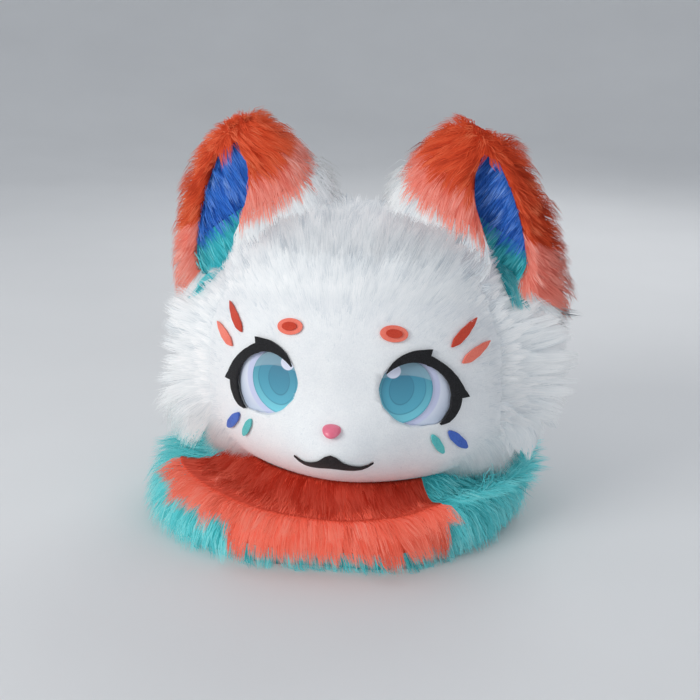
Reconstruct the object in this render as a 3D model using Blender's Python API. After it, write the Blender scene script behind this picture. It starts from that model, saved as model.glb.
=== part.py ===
"""Fursuit head with upright cupped ears and a flared neck ruff.

Metres, +Z up, the face looks along -Y, the hem of the ruff lies on Z = 0.
Left and right are the wearer's own: left is +X.  Tables and sizes below are in millimetres.
"""
import math
from collections import namedtuple

import bmesh
import bpy
from mathutils import Vector
from mathutils.bvhtree import BVHTree

MM = 0.001
CENTRE_SHIFT = Vector((0.5, 4.5, 0.0))   # brings the middle of the whole onto X = 0, Y = 0
FACE = Vector((0.0, -1.0, 0.0))

# Head form: ellipses stacked over the height, with a soft muzzle on the front
HEAD_HALF_WIDTH = 160.0
HEAD_HALF_DEPTH = 150.0
HEAD_MIDDLE_Z = 165.0
HEAD_RISE = 128.0
HEAD_DROP = 108.0
RISE_POWER = 2.2
DROP_POWER = 4.0
RIM_Z = 70.0
MUZZLE_OUT = 28.0
MUZZLE_HALF_WIDTH = 50.0
MUZZLE_HALF_HEIGHT = 34.0
MUZZLE_Z = 115.0
SHELL_WALL = 18.0
HEAD_COLUMNS = 48
FRONT_CROWDING = 15.0    # degrees by which the columns gather at the face
FACE_ROWS = 7
CROWN_ROWS = 8

# Where the short face pile ends and the long coat begins
Hairline = namedtuple("Hairline", "azimuth height")
HAIRLINE = [
    Hairline(0, 240), Hairline(16, 240), Hairline(30, 238), Hairline(44, 235), Hairline(53, 230),
    Hairline(57, 214), Hairline(60, 160), Hairline(63, 106), Hairline(68, 94), Hairline(180, 92),
]
COAT_GAP = 0.8
Coat = namedtuple("Coat", "azimuth pile cheek_extra edge_share lock_out lock_along")
COAT = [
    Coat(0, 9, 0, 0.2, 7, 13), Coat(48, 9, 2, 0.2, 7, 13), Coat(64, 10, 18, 0.8, 14, 26),
    Coat(80, 10, 20, 1.0, 15, 28), Coat(105, 10, 20, 1.0, 15, 28), Coat(140, 12, 8, 0.8, 12, 22),
    Coat(180, 13, 2, 0.7, 10, 18),
]
CHEEK_Z = 114.0
CHEEK_SPREAD_UP = 58.0
CHEEK_SPREAD_DOWN = 95.0
COAT_LOW_Z = 74.0
NAP_CENTRE = Vector((0.0, -150.0, 150.0))

# Ear: rings from the head to the tip, each from its medial to its lateral point, open at the slit
EarLevel = namedtuple("EarLevel", "medial_x medial_z lateral_x lateral_z half_depth arch slit_from slit_to")
EAR_LEVELS = [
    EarLevel(34, 304, 156, 198, 36, 0, 108, 140),
    EarLevel(36, 324, 191, 219, 36, 10, 100, 141),
    EarLevel(42, 336, 195, 237, 35, 4, 90, 140),
    EarLevel(54, 351, 184, 275, 32, 0, 77, 136),
    EarLevel(66, 367, 170, 312, 27, 0, 74, 128),
    EarLevel(80, 379, 152, 344, 21, 0, 86, 112),
    EarLevel(92, 386, 128, 371, 13, 0, 94, 104),
    EarLevel(106, 389, 106, 389, 0, 0, 94, 104),
]
EAR_WALL_COLUMNS = 15
EAR_SLIT_COLUMNS = 3
EAR_WALL = 12.0
EAR_CLEAR = 0.6
SEAT_STEPS = 6
SEAT_ROUNDS = 2
EAR_FOOT_MARGIN = Vector((18.0, 24.0))
EAR_LEAN = {"left": -8.0, "right": 17.0}     # tip sideways, outward, as the pair stands uneven
EAR_LEAN_FROM_Z = 230.0
EAR_LEAN_SPAN = 160.0
SLIT_ROWS = range(0, 5)
EarBand = namedtuple("EarBand", "name first_row end_row colour")
EAR_BANDS = [
    EarBand("ear_root", 0, 2, "white"), EarBand("ear_middle", 2, 3, "coral"), EarBand("ear_tip", 3, 7, "red"),
]
EAR_LINING_GAP = 0.5
EAR_LINING_THICK = 4.0
EAR_LOCK_SHARES = (0.0, 0.4, 1.0, 1.0, 1.0, 1.0, 0.8)
LiningBand = namedtuple("LiningBand", "name levels colour")
EAR_LININGS = [
    LiningBand("ear_lining_lower", (0.0, 1.0, 2.0, 2.38), "teal"),
    LiningBand("ear_lining_upper", (2.4, 3.0, 4.0, 5.0), "blue"),
]

# Eyes: outline of the opening and of the lash as radii from the eye's middle
EYE_MIDDLE = (68.0, 166.0)
EYE_DEEP = 5.0
PLATE_THICK = 2.0
PLATE_RINGS = (1.0, 0.5)
EyeOutline = namedtuple("EyeOutline", "angle radius")
EYE_OUTLINE = [
    EyeOutline(-90, 30), EyeOutline(-72, 32.5), EyeOutline(-54, 36.5), EyeOutline(-34, 34.5), EyeOutline(-12, 31.3),
    EyeOutline(14, 29), EyeOutline(38, 28), EyeOutline(62, 28.6), EyeOutline(90, 30.2), EyeOutline(115, 32.6),
    EyeOutline(140, 34), EyeOutline(165, 32.8), EyeOutline(193, 30), EyeOutline(218, 27.6), EyeOutline(245, 28),
    EyeOutline(270, 30),
]
EYE_SIDES = 24
LashPoint = namedtuple("LashPoint", "angle inner outer")
LASH = [
    LashPoint(146, 31.5, 32.5), LashPoint(138, 31, 37), LashPoint(126, 31, 38.5), LashPoint(113, 31, 39.2),
    LashPoint(97, 29.3, 39.2), LashPoint(84, 28, 38.8), LashPoint(75, 27, 38.5), LashPoint(73, 27, 34.5),
    LashPoint(58, 26.2, 34), LashPoint(43, 26, 34), LashPoint(28, 26.2, 35), LashPoint(12, 27.5, 37),
    LashPoint(0, 29, 40), LashPoint(-10, 30.2, 44.5), LashPoint(-12.5, 30.5, 38.5), LashPoint(-24, 32, 40.5),
    LashPoint(-37, 34, 42), LashPoint(-46, 35.5, 41.8), LashPoint(-54, 36, 38),
]
LASH_THICK = 2.4
IRIS_MIDDLE = (58.5, 168.5)
IRIS_HALF = (24.0, 28.5)
IRIS_THICK = 1.2
IRIS_EDGE_GAP = 0.6
PIECE_GAP = 0.35
FACE_LIFT = 0.8

# Marks on the face: straight strokes from one end to the other, with the width along them
Stroke = namedtuple("Stroke", "name colour from_x from_z to_x to_z widths")
STROKES = [
    Stroke("cheek_stripe_upper", "red", 95, 205, 114, 225, (3.0, 8.0, 8.5, 6.0, 2.0)),
    Stroke("cheek_stripe_lower", "coral", 105, 190, 127, 204, (3.0, 8.5, 9.0, 6.5, 2.0)),
    Stroke("blush_stroke_outer", "blue", 97, 128, 113, 106, (4.0, 8.0, 8.0, 4.0)),
    Stroke("blush_stroke_inner", "teal", 83, 127, 93, 106, (3.5, 6.5, 6.5, 3.5)),
]
STROKE_THICK = 1.6
BROW_MIDDLE = (46.0, 219.0)
BROW_HALF = (12.0, 6.6)
BROW_SPOT_HALF = (7.0, 3.4)
BROW_TILT = 8.0
BROW_THICK = 1.4
BROW_SPOT_THICK = 1.0
MouthSection = namedtuple("MouthSection", "x low high")
MOUTH = [
    MouthSection(-35, 108.2, 109.4), MouthSection(-30, 104.8, 106.8), MouthSection(-25, 103, 106),
    MouthSection(-19, 103, 107.6), MouthSection(-12, 104.2, 111), MouthSection(-5, 105.6, 117),
    MouthSection(0, 106, 119), MouthSection(5, 105.6, 117), MouthSection(12, 104.2, 111),
    MouthSection(19, 103, 107.6), MouthSection(25, 103, 106), MouthSection(30, 104.8, 106.8),
    MouthSection(35, 108.2, 109.4),
]
MOUTH_THICK = 1.4
NOSE_MIDDLE = (-1.0, 138.0)
NOSE_HALF = (8.4, 5.6)
NOSE_OUT = 7.0
NoseRing = namedtuple("NoseRing", "share out")
NOSE_RINGS = [NoseRing(1.0, 0.35), NoseRing(0.86, 0.72), NoseRing(0.5, 0.95), NoseRing(0.0, 1.0)]
NOSE_SIDES = 12

# Ruff: a padded skirt from the head's rim over a crest down to the hem
RuffStation = namedtuple("RuffStation", "azimuth foot crest_radius crest_z")
RUFF = [
    RuffStation(-180, 158, 158, 62), RuffStation(-125, 172, 170, 58), RuffStation(-90, 190, 180, 56),
    RuffStation(-75, 200, 184, 60), RuffStation(-60, 207, 188, 62), RuffStation(-45, 200, 184, 62),
    RuffStation(-30, 187, 174, 56), RuffStation(0, 163, 157, 50), RuffStation(22, 168, 156, 54),
    RuffStation(40, 162, 154, 64), RuffStation(60, 160, 162, 66), RuffStation(90, 162, 168, 60),
    RuffStation(125, 162, 166, 60), RuffStation(180, 158, 158, 62),
]
RUFF_COLUMNS = 48
LAND_INNER = (112.0, 104.0)
LAND_OUTER = (124.0, 116.0)
LAND_Z = RIM_Z - PIECE_GAP
RUFF_WALL = 12.0
RUFF_LOCK_OUT = 8.0
RUFF_LOCK_ALONG = 15.0
RUFF_LOCK_CLEAR = 1.5
BibColumn = namedtuple("BibColumn", "azimuth end_row")
BIB = [BibColumn(-67.5, 4), BibColumn(-52.5, 5), BibColumn(-30.0, 6), BibColumn(37.5, 0)]
BIB_FIRST_ROW = 1
SEAM_INSET = 0.2

COLOURS = {
    "white": (0.82, 0.85, 0.87), "coral": (0.90, 0.22, 0.15), "red": (0.62, 0.06, 0.03),
    "blue": (0.03, 0.12, 0.52), "teal": (0.05, 0.48, 0.48), "sclera": (0.72, 0.76, 0.88),
    "iris": (0.06, 0.36, 0.52), "black": (0.012, 0.012, 0.014), "pink": (0.80, 0.12, 0.20),
    "pile": (0.85, 0.87, 0.88),
}


def smooth(share):
    share = min(1.0, max(0.0, share))
    return share * share * (3 - 2 * share)


def from_table(rows, position):
    """Values of the other columns at a position in the first one, eased between rows."""
    if position <= rows[0][0]:
        return list(rows[0][1:])
    for low, high in zip(rows, rows[1:]):
        if position <= high[0]:
            share = smooth((position - low[0]) / (high[0] - low[0]))
            return [a + (b - a) * share for a, b in zip(low[1:], high[1:])]
    return list(rows[-1][1:])


def variation(row, column, spread=0.22):
    """A repeatable factor around 1 so that neighbouring locks differ."""
    return 1.0 + spread * math.sin(12.9 * row + 7.3 * column + 0.7 * row * column)


def wrap_degrees(angle):
    return (angle + 180.0) % 360.0 - 180.0


# Mesh building

def finish(name, vertices, faces, colour, round_part=False):
    mesh = bpy.data.meshes.new(name)
    mesh.from_pydata([(v + CENTRE_SHIFT) * MM for v in vertices], [], faces)
    work = bmesh.new()
    work.from_mesh(mesh)
    bmesh.ops.recalc_face_normals(work, faces=work.faces)
    work.to_mesh(mesh)
    work.free()
    for polygon in mesh.polygons:
        polygon.use_smooth = round_part
    body = bpy.data.objects.new(name, mesh)
    bpy.context.scene.collection.objects.link(body)
    material = bpy.data.materials.new(name + "_material")
    material.use_nodes = True
    shader = material.node_tree.nodes["Principled BSDF"]
    shader.inputs["Base Color"].default_value = (*COLOURS[colour], 1.0)
    shader.inputs["Roughness"].default_value = 0.35 if colour in ("pink", "iris", "sclera") else 0.85
    mesh.materials.append(material)
    return body


def cell_corners(row, column, columns, wrap):
    following = (column + 1) % columns if wrap else column + 1
    return (row, column), (row, following), (row + 1, following), (row + 1, column)


def seam_moves(grid, cells, columns, wrap, inset):
    """Moves the points of seams a little into the kept cells."""
    rows = len(grid) - 1
    touching = {}
    for row in range(rows):
        for column in range(columns):
            for corner in cell_corners(row, column, columns, wrap):
                touching.setdefault(corner, []).append((row, column))
    moved = {}
    for corner, around in touching.items():
        kept = [cell for cell in around if cell in cells]
        here = grid[corner[0]][corner[1]]
        moved[corner] = here
        if kept and len(kept) < len(around):
            centre = Vector((0, 0, 0))
            for row, column in kept:
                for r, c in cell_corners(row, column, columns, wrap):
                    centre += grid[r][c] / (4 * len(kept))
            if (centre - here).length > inset:
                moved[corner] = here + (centre - here).normalized() * inset
    return moved


def slab(name, outer, inner, cells, colour, wrap=True, lock=None, inset=0.0, round_part=False):
    """A closed wall between two point grids over the kept cells, with a lock on each where asked."""
    columns = len(outer[0]) if wrap else len(outer[0]) - 1
    cells = set(cells)
    outside = seam_moves(outer, cells, columns, wrap, inset)
    inside = seam_moves(inner, cells, columns, wrap, inset)
    vertices = []
    found = {}
    faces = []

    def point(position):
        key = tuple(round(value, 4) for value in position)
        if key not in found:
            found[key] = len(vertices)
            vertices.append(position)
        return found[key]

    def face(*positions):
        ring = []
        for position in positions:
            index = point(position)
            if index not in ring:
                ring.append(index)
        if len(ring) > 2:
            faces.append(ring)

    for row, column in sorted(cells):
        a, b, c, d = cell_corners(row, column, columns, wrap)
        apex = lock(row, column, [outside[k] for k in (a, b, c, d)]) if lock else None
        if apex is None:
            face(outside[a], outside[b], outside[c])
            face(outside[a], outside[c], outside[d])
        else:
            for start, end in ((a, b), (b, c), (c, d), (d, a)):
                face(outside[start], outside[end], apex)
        face(inside[c], inside[b], inside[a])
        face(inside[d], inside[c], inside[a])
        before = (column - 1) % columns if wrap else column - 1
        after = (column + 1) % columns if wrap else column + 1
        for start, end, neighbour in (
            (a, b, (row - 1, column)), (b, c, (row, after)), (c, d, (row + 1, column)), (d, a, (row, before)),
        ):
            if neighbour not in cells:
                face(outside[end], outside[start], inside[start])
                face(outside[end], inside[start], inside[end])
    return finish(name, vertices, faces, colour, round_part)


def every_cell(rows, columns):
    return [(row, column) for row in range(rows) for column in range(columns)]


def cell_frame(corners, towards):
    """Middle and outward normal of a cell."""
    middle = sum(corners, Vector((0, 0, 0))) / 4
    normal = (corners[2] - corners[0]).cross(corners[3] - corners[1]).normalized()
    if normal.dot(towards) < 0:
        normal = -normal
    return middle, normal


# Head

def head_share(z):
    """Width of the head at a height as a share of its fullest width."""
    if z >= HEAD_MIDDLE_Z:
        reach, power = HEAD_RISE, RISE_POWER
    else:
        reach, power = HEAD_DROP, DROP_POWER
    return max(0.0, 1 - (abs(z - HEAD_MIDDLE_Z) / reach) ** power) ** (1 / power)


def muzzle(x, z):
    across = (x / MUZZLE_HALF_WIDTH) ** 2
    return MUZZLE_OUT * math.exp(-across - ((z - MUZZLE_Z) / MUZZLE_HALF_HEIGHT) ** 2)


def head_point(azimuth, z):
    turn = math.radians(azimuth)
    share = head_share(z)
    x = HEAD_HALF_WIDTH * share * math.sin(turn)
    y = -HEAD_HALF_DEPTH * share * math.cos(turn)
    if math.cos(turn) > 0:
        y -= muzzle(x, z)
    return Vector((x, y, z))


def face_y(x, z):
    """Depth of the front of the head at a place on the face."""
    share = head_share(z)
    return -HEAD_HALF_DEPTH * math.sqrt(max(0.0, share ** 2 - (x / HEAD_HALF_WIDTH) ** 2)) - muzzle(x, z)


def latitude_of(z):
    reach = HEAD_RISE if z >= HEAD_MIDDLE_Z else HEAD_DROP
    return math.degrees(math.asin(max(-1.0, min(1.0, (z - HEAD_MIDDLE_Z) / reach))))


def height_at(latitude):
    reach = HEAD_RISE if latitude >= 0 else HEAD_DROP
    return HEAD_MIDDLE_Z + reach * math.sin(math.radians(latitude))


def hairline_latitude(azimuth):
    return latitude_of(from_table(HAIRLINE, abs(wrap_degrees(azimuth)))[0])


def crown_latitude(azimuth, row):
    edge = hairline_latitude(azimuth)
    return edge + (90.0 - edge) * row / CROWN_ROWS


def head_normal(azimuth, z):
    """Outward direction of the head; at the top it is straight up."""
    if z > HEAD_MIDDLE_Z + HEAD_RISE - 0.5:
        return Vector((0, 0, 1))
    step = 0.4
    around = head_point(azimuth + step, z) - head_point(azimuth - step, z)
    up = head_point(azimuth, z + step) - head_point(azimuth, z - step)
    return around.cross(up).normalized()


def head_azimuths():
    """Azimuths of the head's columns, closer together at the face."""
    shares = [column / HEAD_COLUMNS for column in range(HEAD_COLUMNS)]
    return [360.0 * share - FRONT_CROWDING * math.sin(2 * math.pi * share) for share in shares]


def build_shell():
    rim = latitude_of(RIM_Z)
    inner_rise = (HEAD_RISE - SHELL_WALL) / HEAD_RISE
    outer = []
    inner = []
    for row in range(FACE_ROWS + CROWN_ROWS + 1):
        outer.append([])
        inner.append([])
        for azimuth in head_azimuths():
            if row < FACE_ROWS:
                latitude = rim + (hairline_latitude(azimuth) - rim) * row / FACE_ROWS
            else:
                latitude = crown_latitude(azimuth, row - FACE_ROWS)
            z = height_at(latitude)
            outer[-1].append(head_point(azimuth, z))
            turn = math.radians(azimuth)
            share = head_share(z)
            drop = inner_rise if z > HEAD_MIDDLE_Z else 1.0
            inner[-1].append(Vector((
                (HEAD_HALF_WIDTH - SHELL_WALL) * share * math.sin(turn),
                -(HEAD_HALF_DEPTH - SHELL_WALL) * share * math.cos(turn),
                HEAD_MIDDLE_Z + (z - HEAD_MIDDLE_Z) * drop,
            )))
    cells = every_cell(FACE_ROWS + CROWN_ROWS, HEAD_COLUMNS)
    return slab("head_shell", outer, inner, cells, "pile", round_part=True)


def coat_pile(azimuth, z, row):
    """Depth of the coat; it grows from its edge to the second row of points."""
    pile, cheek, edge_share = from_table(COAT, abs(wrap_degrees(azimuth)))[:3]
    spread = CHEEK_SPREAD_UP if z > CHEEK_Z else CHEEK_SPREAD_DOWN
    full = pile + cheek * math.exp(-((z - CHEEK_Z) / spread) ** 2)
    return full * (edge_share + (1 - edge_share) * smooth(row / 2.0))


def in_ear_foot(place):
    level = EAR_LEVELS[0]
    middle_x = (level.medial_x + level.lateral_x) / 2
    middle_z = (level.medial_z + level.lateral_z) / 2
    run = Vector((level.lateral_x - level.medial_x, 0, level.lateral_z - level.medial_z))
    offset = Vector((abs(place.x) - middle_x, 0, place.z - middle_z))
    along = offset.dot(run.normalized()) / (run.length / 2 + EAR_FOOT_MARGIN.x)
    across = place.y / (level.half_depth + EAR_FOOT_MARGIN.y)
    return along ** 2 + across ** 2 < 1 and place.z > level.lateral_z - EAR_FOOT_MARGIN.x


def nap_at(place, normal):
    """Lie of the fur: away from the middle of the face, hanging down at the sides and back."""
    flow = (place - NAP_CENTRE).normalized()
    hang = smooth((place.y + 60.0) / 160.0)
    flow += Vector((0, 0, -1.3)) * hang
    flow -= normal * flow.dot(normal)
    return flow.normalized()


def build_coat():
    outer = []
    inner = []
    for row in range(CROWN_ROWS + 1):
        outer.append([])
        inner.append([])
        for azimuth in head_azimuths():
            z = height_at(crown_latitude(azimuth, row))
            base = head_point(azimuth, z)
            normal = head_normal(azimuth, z)
            inner[-1].append(base + normal * COAT_GAP)
            outer[-1].append(base + normal * (COAT_GAP + coat_pile(azimuth, z, row)))

    def lock(row, column, corners):
        middle, normal = cell_frame(corners, corners[0] - Vector((0, 0, HEAD_MIDDLE_Z)))
        if row > CROWN_ROWS - 2 or in_ear_foot(middle):
            return None
        azimuth = math.degrees(math.atan2(middle.x, -middle.y))
        edge, out, along = from_table(COAT, abs(azimuth))[2:]
        factor = variation(row, column, 0.14) * (max(0.4, edge) if row == 0 else 1.0)
        apex = middle + (normal * out + nap_at(middle, normal) * along) * factor
        apex.z = max(apex.z, COAT_LOW_Z)
        return apex

    cells = every_cell(CROWN_ROWS, HEAD_COLUMNS)
    return slab("head_fur", outer, inner, cells, "white", lock=lock)


# Ears

def ear_row(level_value):
    """The ear's ring between two rows of the table."""
    low = min(int(level_value), len(EAR_LEVELS) - 2)
    share = level_value - low
    return EarLevel(*[a + (b - a) * share for a, b in zip(EAR_LEVELS[low], EAR_LEVELS[low + 1])])


def ear_angles(level, with_slit):
    span = 360.0 + level.slit_from - level.slit_to
    angles = [level.slit_to + span * k / EAR_WALL_COLUMNS for k in range(EAR_WALL_COLUMNS + 1)]
    if with_slit:
        gap = level.slit_to - level.slit_from
        angles += [level.slit_from + 360.0 + gap * k / EAR_SLIT_COLUMNS for k in range(1, EAR_SLIT_COLUMNS)]
    return angles


def ear_ring(level, depth, with_slit, sign, lean):
    """Points of one ring, a depth inside the ear's outer surface."""
    medial = Vector((level.medial_x, 0, level.medial_z))
    lateral = Vector((level.lateral_x, 0, level.lateral_z))
    middle = (medial + lateral) / 2
    half = (lateral - medial).length / 2
    along = (lateral - medial).normalized() if half else Vector((1, 0, 0))
    width = max(half - depth, 0.3 * half)
    thick = max(level.half_depth - depth, 0.25 * level.half_depth)
    drop = depth * 0.55 if half == 0 else 0.0
    ring = []
    for angle in ear_angles(level, with_slit):
        turn = math.radians(angle)
        place = middle - along * width * math.cos(turn) + FACE * thick * math.sin(turn)
        place.z += level.arch * math.sin(turn) ** 2 - drop
        share = max(0.0, place.z - EAR_LEAN_FROM_Z) / EAR_LEAN_SPAN
        place.x = sign * (place.x + lean * share)
        ring.append(place)
    return ring


def lift_needed(tree, place):
    """How far a point must move out from the head's middle to stand clear on the coat."""
    centre = Vector((0, 0, HEAD_MIDDLE_Z))
    ray = (place - centre).normalized()
    hit = tree.ray_cast(centre + ray * 400.0, -ray)[0]
    return (hit - centre).length + EAR_CLEAR - (place - centre).length


def seat(tree, near, far):
    """Sets two rings of points, and the flat strip between them, just on the coat."""
    centre = Vector((0, 0, HEAD_MIDDLE_Z))
    rings = [list(near), list(far)]
    for ring in rings:
        for index, place in enumerate(ring):
            ring[index] = place + (place - centre).normalized() * lift_needed(tree, place)
    shares = [step / SEAT_STEPS for step in range(SEAT_STEPS + 1)]
    for _ in range(SEAT_ROUNDS):
        lifts = [[0.0] * len(near), [0.0] * len(near)]
        for index in range(len(near)):
            after = (index + 1) % len(near)
            for u in shares:
                for v in shares:
                    low = rings[0][index].lerp(rings[0][after], u)
                    high = rings[1][index].lerp(rings[1][after], u)
                    need = lift_needed(tree, low.lerp(high, v))
                    for ring_lifts in lifts:
                        ring_lifts[index] = max(ring_lifts[index], need)
                        ring_lifts[after] = max(ring_lifts[after], need)
        for ring, ring_lifts in zip(rings, lifts):
            for index, place in enumerate(ring):
                ring[index] = place + (place - centre).normalized() * ring_lifts[index]
    return rings


def build_ear(side, tree):
    sign = 1 if side == "left" else -1
    lean = EAR_LEAN[side]
    outer = [ear_ring(level, 0.0, True, sign, lean) for level in EAR_LEVELS]
    inner = [ear_ring(level, EAR_WALL, True, sign, lean) for level in EAR_LEVELS]
    outer[0], inner[0] = seat(tree, outer[0], inner[0])
    slit = range(EAR_WALL_COLUMNS, EAR_WALL_COLUMNS + EAR_SLIT_COLUMNS)
    columns = EAR_WALL_COLUMNS + EAR_SLIT_COLUMNS

    def lock(row, column, corners):
        level = EAR_LEVELS[row]
        heart = Vector((sign * (level.medial_x + level.lateral_x) / 2, 0, (level.medial_z + level.lateral_z) / 2))
        middle, normal = cell_frame(corners, corners[0] - heart)
        if row == 0 or column in slit:
            return None
        down = ((corners[0] + corners[1]) - (corners[2] + corners[3])).normalized()
        factor = variation(row, column) * EAR_LOCK_SHARES[row]
        return middle + normal * 4.5 * factor + down * 16.0 * factor

    for band in EAR_BANDS:
        cells = []
        for row in range(band.first_row, band.end_row):
            for column in range(columns):
                if not (row in SLIT_ROWS and column in slit):
                    cells.append((row, column))
        slab(f"{band.name}_{side}", outer, inner, cells, band.colour, lock=lock, inset=SEAM_INSET)
    for lining in EAR_LININGS:
        levels = [ear_row(value) for value in lining.levels]
        start = EAR_WALL + EAR_LINING_GAP
        near = [ear_ring(level, start, False, sign, lean) for level in levels]
        far = [ear_ring(level, start + EAR_LINING_THICK, False, sign, lean) for level in levels]
        if lining.levels[0] == 0.0:
            near[0], far[0] = seat(tree, near[0], far[0])
        cells = every_cell(len(levels) - 1, EAR_WALL_COLUMNS)
        slab(f"{lining.name}_{side}", near, far, cells, lining.colour, wrap=False)


# Face

def on_face(x, z, out):
    return Vector((x, face_y(x, z) - out, z))


def face_slab(name, grid, under, thick, colour, wrap=False, sign=1, round_part=False):
    """A thin piece over a grid of places on the face, each (x, z)."""
    inner = [[on_face(sign * x, z, under) for x, z in row] for row in grid]
    outer = [[on_face(sign * x, z, under + thick) for x, z in row] for row in grid]
    columns = len(grid[0]) if wrap else len(grid[0]) - 1
    return slab(name, outer, inner, every_cell(len(grid) - 1, columns), colour, wrap=wrap, round_part=round_part)


def eye_radius(angle):
    return from_table(EYE_OUTLINE, (angle + 90.0) % 360.0 - 90.0)[0]


def around_eye(radius, angle):
    turn = math.radians(angle)
    return EYE_MIDDLE[0] + radius * math.cos(turn), EYE_MIDDLE[1] + radius * math.sin(turn)


def eye_angles():
    return [360.0 * k / EYE_SIDES - 90.0 for k in range(EYE_SIDES)]


def cut_eye_opening(shell, side):
    sign = 1 if side == "left" else -1
    outline = [around_eye(eye_radius(angle), angle) for angle in eye_angles()]
    vertices = []
    for y in (-230.0, -50.0):
        vertices += [Vector((sign * x, y, z)) for x, z in outline]
    count = len(outline)
    faces = [list(range(count)), list(range(count, 2 * count))]
    for k in range(count):
        following = (k + 1) % count
        faces.append([k, following, following + count, k + count])
    cutter = finish(f"eye_cutter_{side}", vertices, faces, "black")
    cutter.hide_render = True
    cutter.display_type = "WIRE"
    cut = shell.modifiers.new(f"eye_opening_{side}", "BOOLEAN")
    cut.operation = "DIFFERENCE"
    cut.solver = "EXACT"
    cut.object = cutter


def ellipse_ray(middle, half, angle):
    """Distance from the eye's middle to an ellipse round another middle."""
    turn = math.radians(angle)
    direction = (math.cos(turn) / half[0], math.sin(turn) / half[1])
    start = ((EYE_MIDDLE[0] - middle[0]) / half[0], (EYE_MIDDLE[1] - middle[1]) / half[1])
    a = direction[0] ** 2 + direction[1] ** 2
    b = direction[0] * start[0] + direction[1] * start[1]
    c = start[0] ** 2 + start[1] ** 2 - 1
    return (-b + math.sqrt(b * b - a * c)) / a


def build_eye(side):
    sign = 1 if side == "left" else -1
    rings = []
    for share in PLATE_RINGS:
        rings.append([around_eye((eye_radius(angle) - PIECE_GAP) * share, angle) for angle in eye_angles()])
    rings.append([EYE_MIDDLE] * EYE_SIDES)
    plate_under = -EYE_DEEP - PLATE_THICK
    face_slab(f"eye_plate_{side}", rings, plate_under, PLATE_THICK, "sclera", wrap=True, sign=sign, round_part=True)
    rings = []
    for share in PLATE_RINGS:
        ring = []
        for angle in eye_angles():
            reach = min(ellipse_ray(IRIS_MIDDLE, IRIS_HALF, angle), eye_radius(angle) - IRIS_EDGE_GAP)
            ring.append(around_eye(reach * share, angle))
        rings.append(ring)
    rings.append([EYE_MIDDLE] * EYE_SIDES)
    under = PIECE_GAP - EYE_DEEP
    face_slab(f"iris_{side}", rings, under, IRIS_THICK, "iris", wrap=True, sign=sign, round_part=True)
    rows = []
    for point in LASH:
        rows.append([around_eye(point.inner, point.angle), around_eye(point.outer, point.angle)])
    face_slab(f"lash_{side}", rows, FACE_LIFT, LASH_THICK, "black", sign=sign)


def stroke_rows(stroke):
    start = Vector((stroke.from_x, stroke.from_z))
    end = Vector((stroke.to_x, stroke.to_z))
    run = (end - start).normalized()
    side = Vector((-run.y, run.x))
    rows = []
    for k, width in enumerate(stroke.widths):
        middle = start.lerp(end, k / (len(stroke.widths) - 1))
        rows.append([tuple(middle + side * width * share) for share in (-0.5, 0.0, 0.5)])
    return rows


def oval_rings(middle, half, tilt, sides=12):
    turn = math.radians(tilt)
    ring = []
    for k in range(sides):
        angle = 2 * math.pi * k / sides
        u = half[0] * math.cos(angle)
        v = half[1] * math.sin(angle)
        ring.append((
            middle[0] + u * math.cos(turn) - v * math.sin(turn),
            middle[1] + u * math.sin(turn) + v * math.cos(turn),
        ))
    return [ring, [middle] * sides]


def build_marks(side):
    sign = 1 if side == "left" else -1
    for stroke in STROKES:
        face_slab(f"{stroke.name}_{side}", stroke_rows(stroke), FACE_LIFT, STROKE_THICK, stroke.colour, sign=sign)
    rings = oval_rings(BROW_MIDDLE, BROW_HALF, -BROW_TILT)
    face_slab(f"brow_{side}", rings, FACE_LIFT, BROW_THICK, "coral", wrap=True, sign=sign)
    rings = oval_rings(BROW_MIDDLE, BROW_SPOT_HALF, -BROW_TILT)
    under = FACE_LIFT + BROW_THICK + PIECE_GAP
    face_slab(f"brow_spot_{side}", rings, under, BROW_SPOT_THICK, "red", wrap=True, sign=sign)


def build_mouth():
    rows = [[(s.x, s.low), (s.x, (s.low + s.high) / 2), (s.x, s.high)] for s in MOUTH]
    face_slab("mouth", rows, FACE_LIFT, MOUTH_THICK, "black")


def build_nose():
    outer = []
    inner = []
    for ring in NOSE_RINGS:
        outer.append([])
        inner.append([])
        for k in range(NOSE_SIDES):
            turn = 2 * math.pi * k / NOSE_SIDES
            narrow = 1.0 + 0.18 * math.sin(turn)
            x = NOSE_MIDDLE[0] + NOSE_HALF[0] * ring.share * math.cos(turn) * narrow
            z = NOSE_MIDDLE[1] + NOSE_HALF[1] * ring.share * math.sin(turn)
            inner[-1].append(on_face(x, z, FACE_LIFT))
            outer[-1].append(on_face(x, z, FACE_LIFT + NOSE_OUT * ring.out))
    slab("nose", outer, inner, every_cell(len(NOSE_RINGS) - 1, NOSE_SIDES), "pink", round_part=True)


# Ruff

def around(radius, azimuth, z):
    turn = math.radians(azimuth)
    return Vector((radius * math.sin(turn), -radius * math.cos(turn), z))


def ellipse_radius(halves, azimuth):
    turn = math.radians(azimuth)
    return 1 / math.hypot(math.sin(turn) / halves[0], math.cos(turn) / halves[1])


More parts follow.
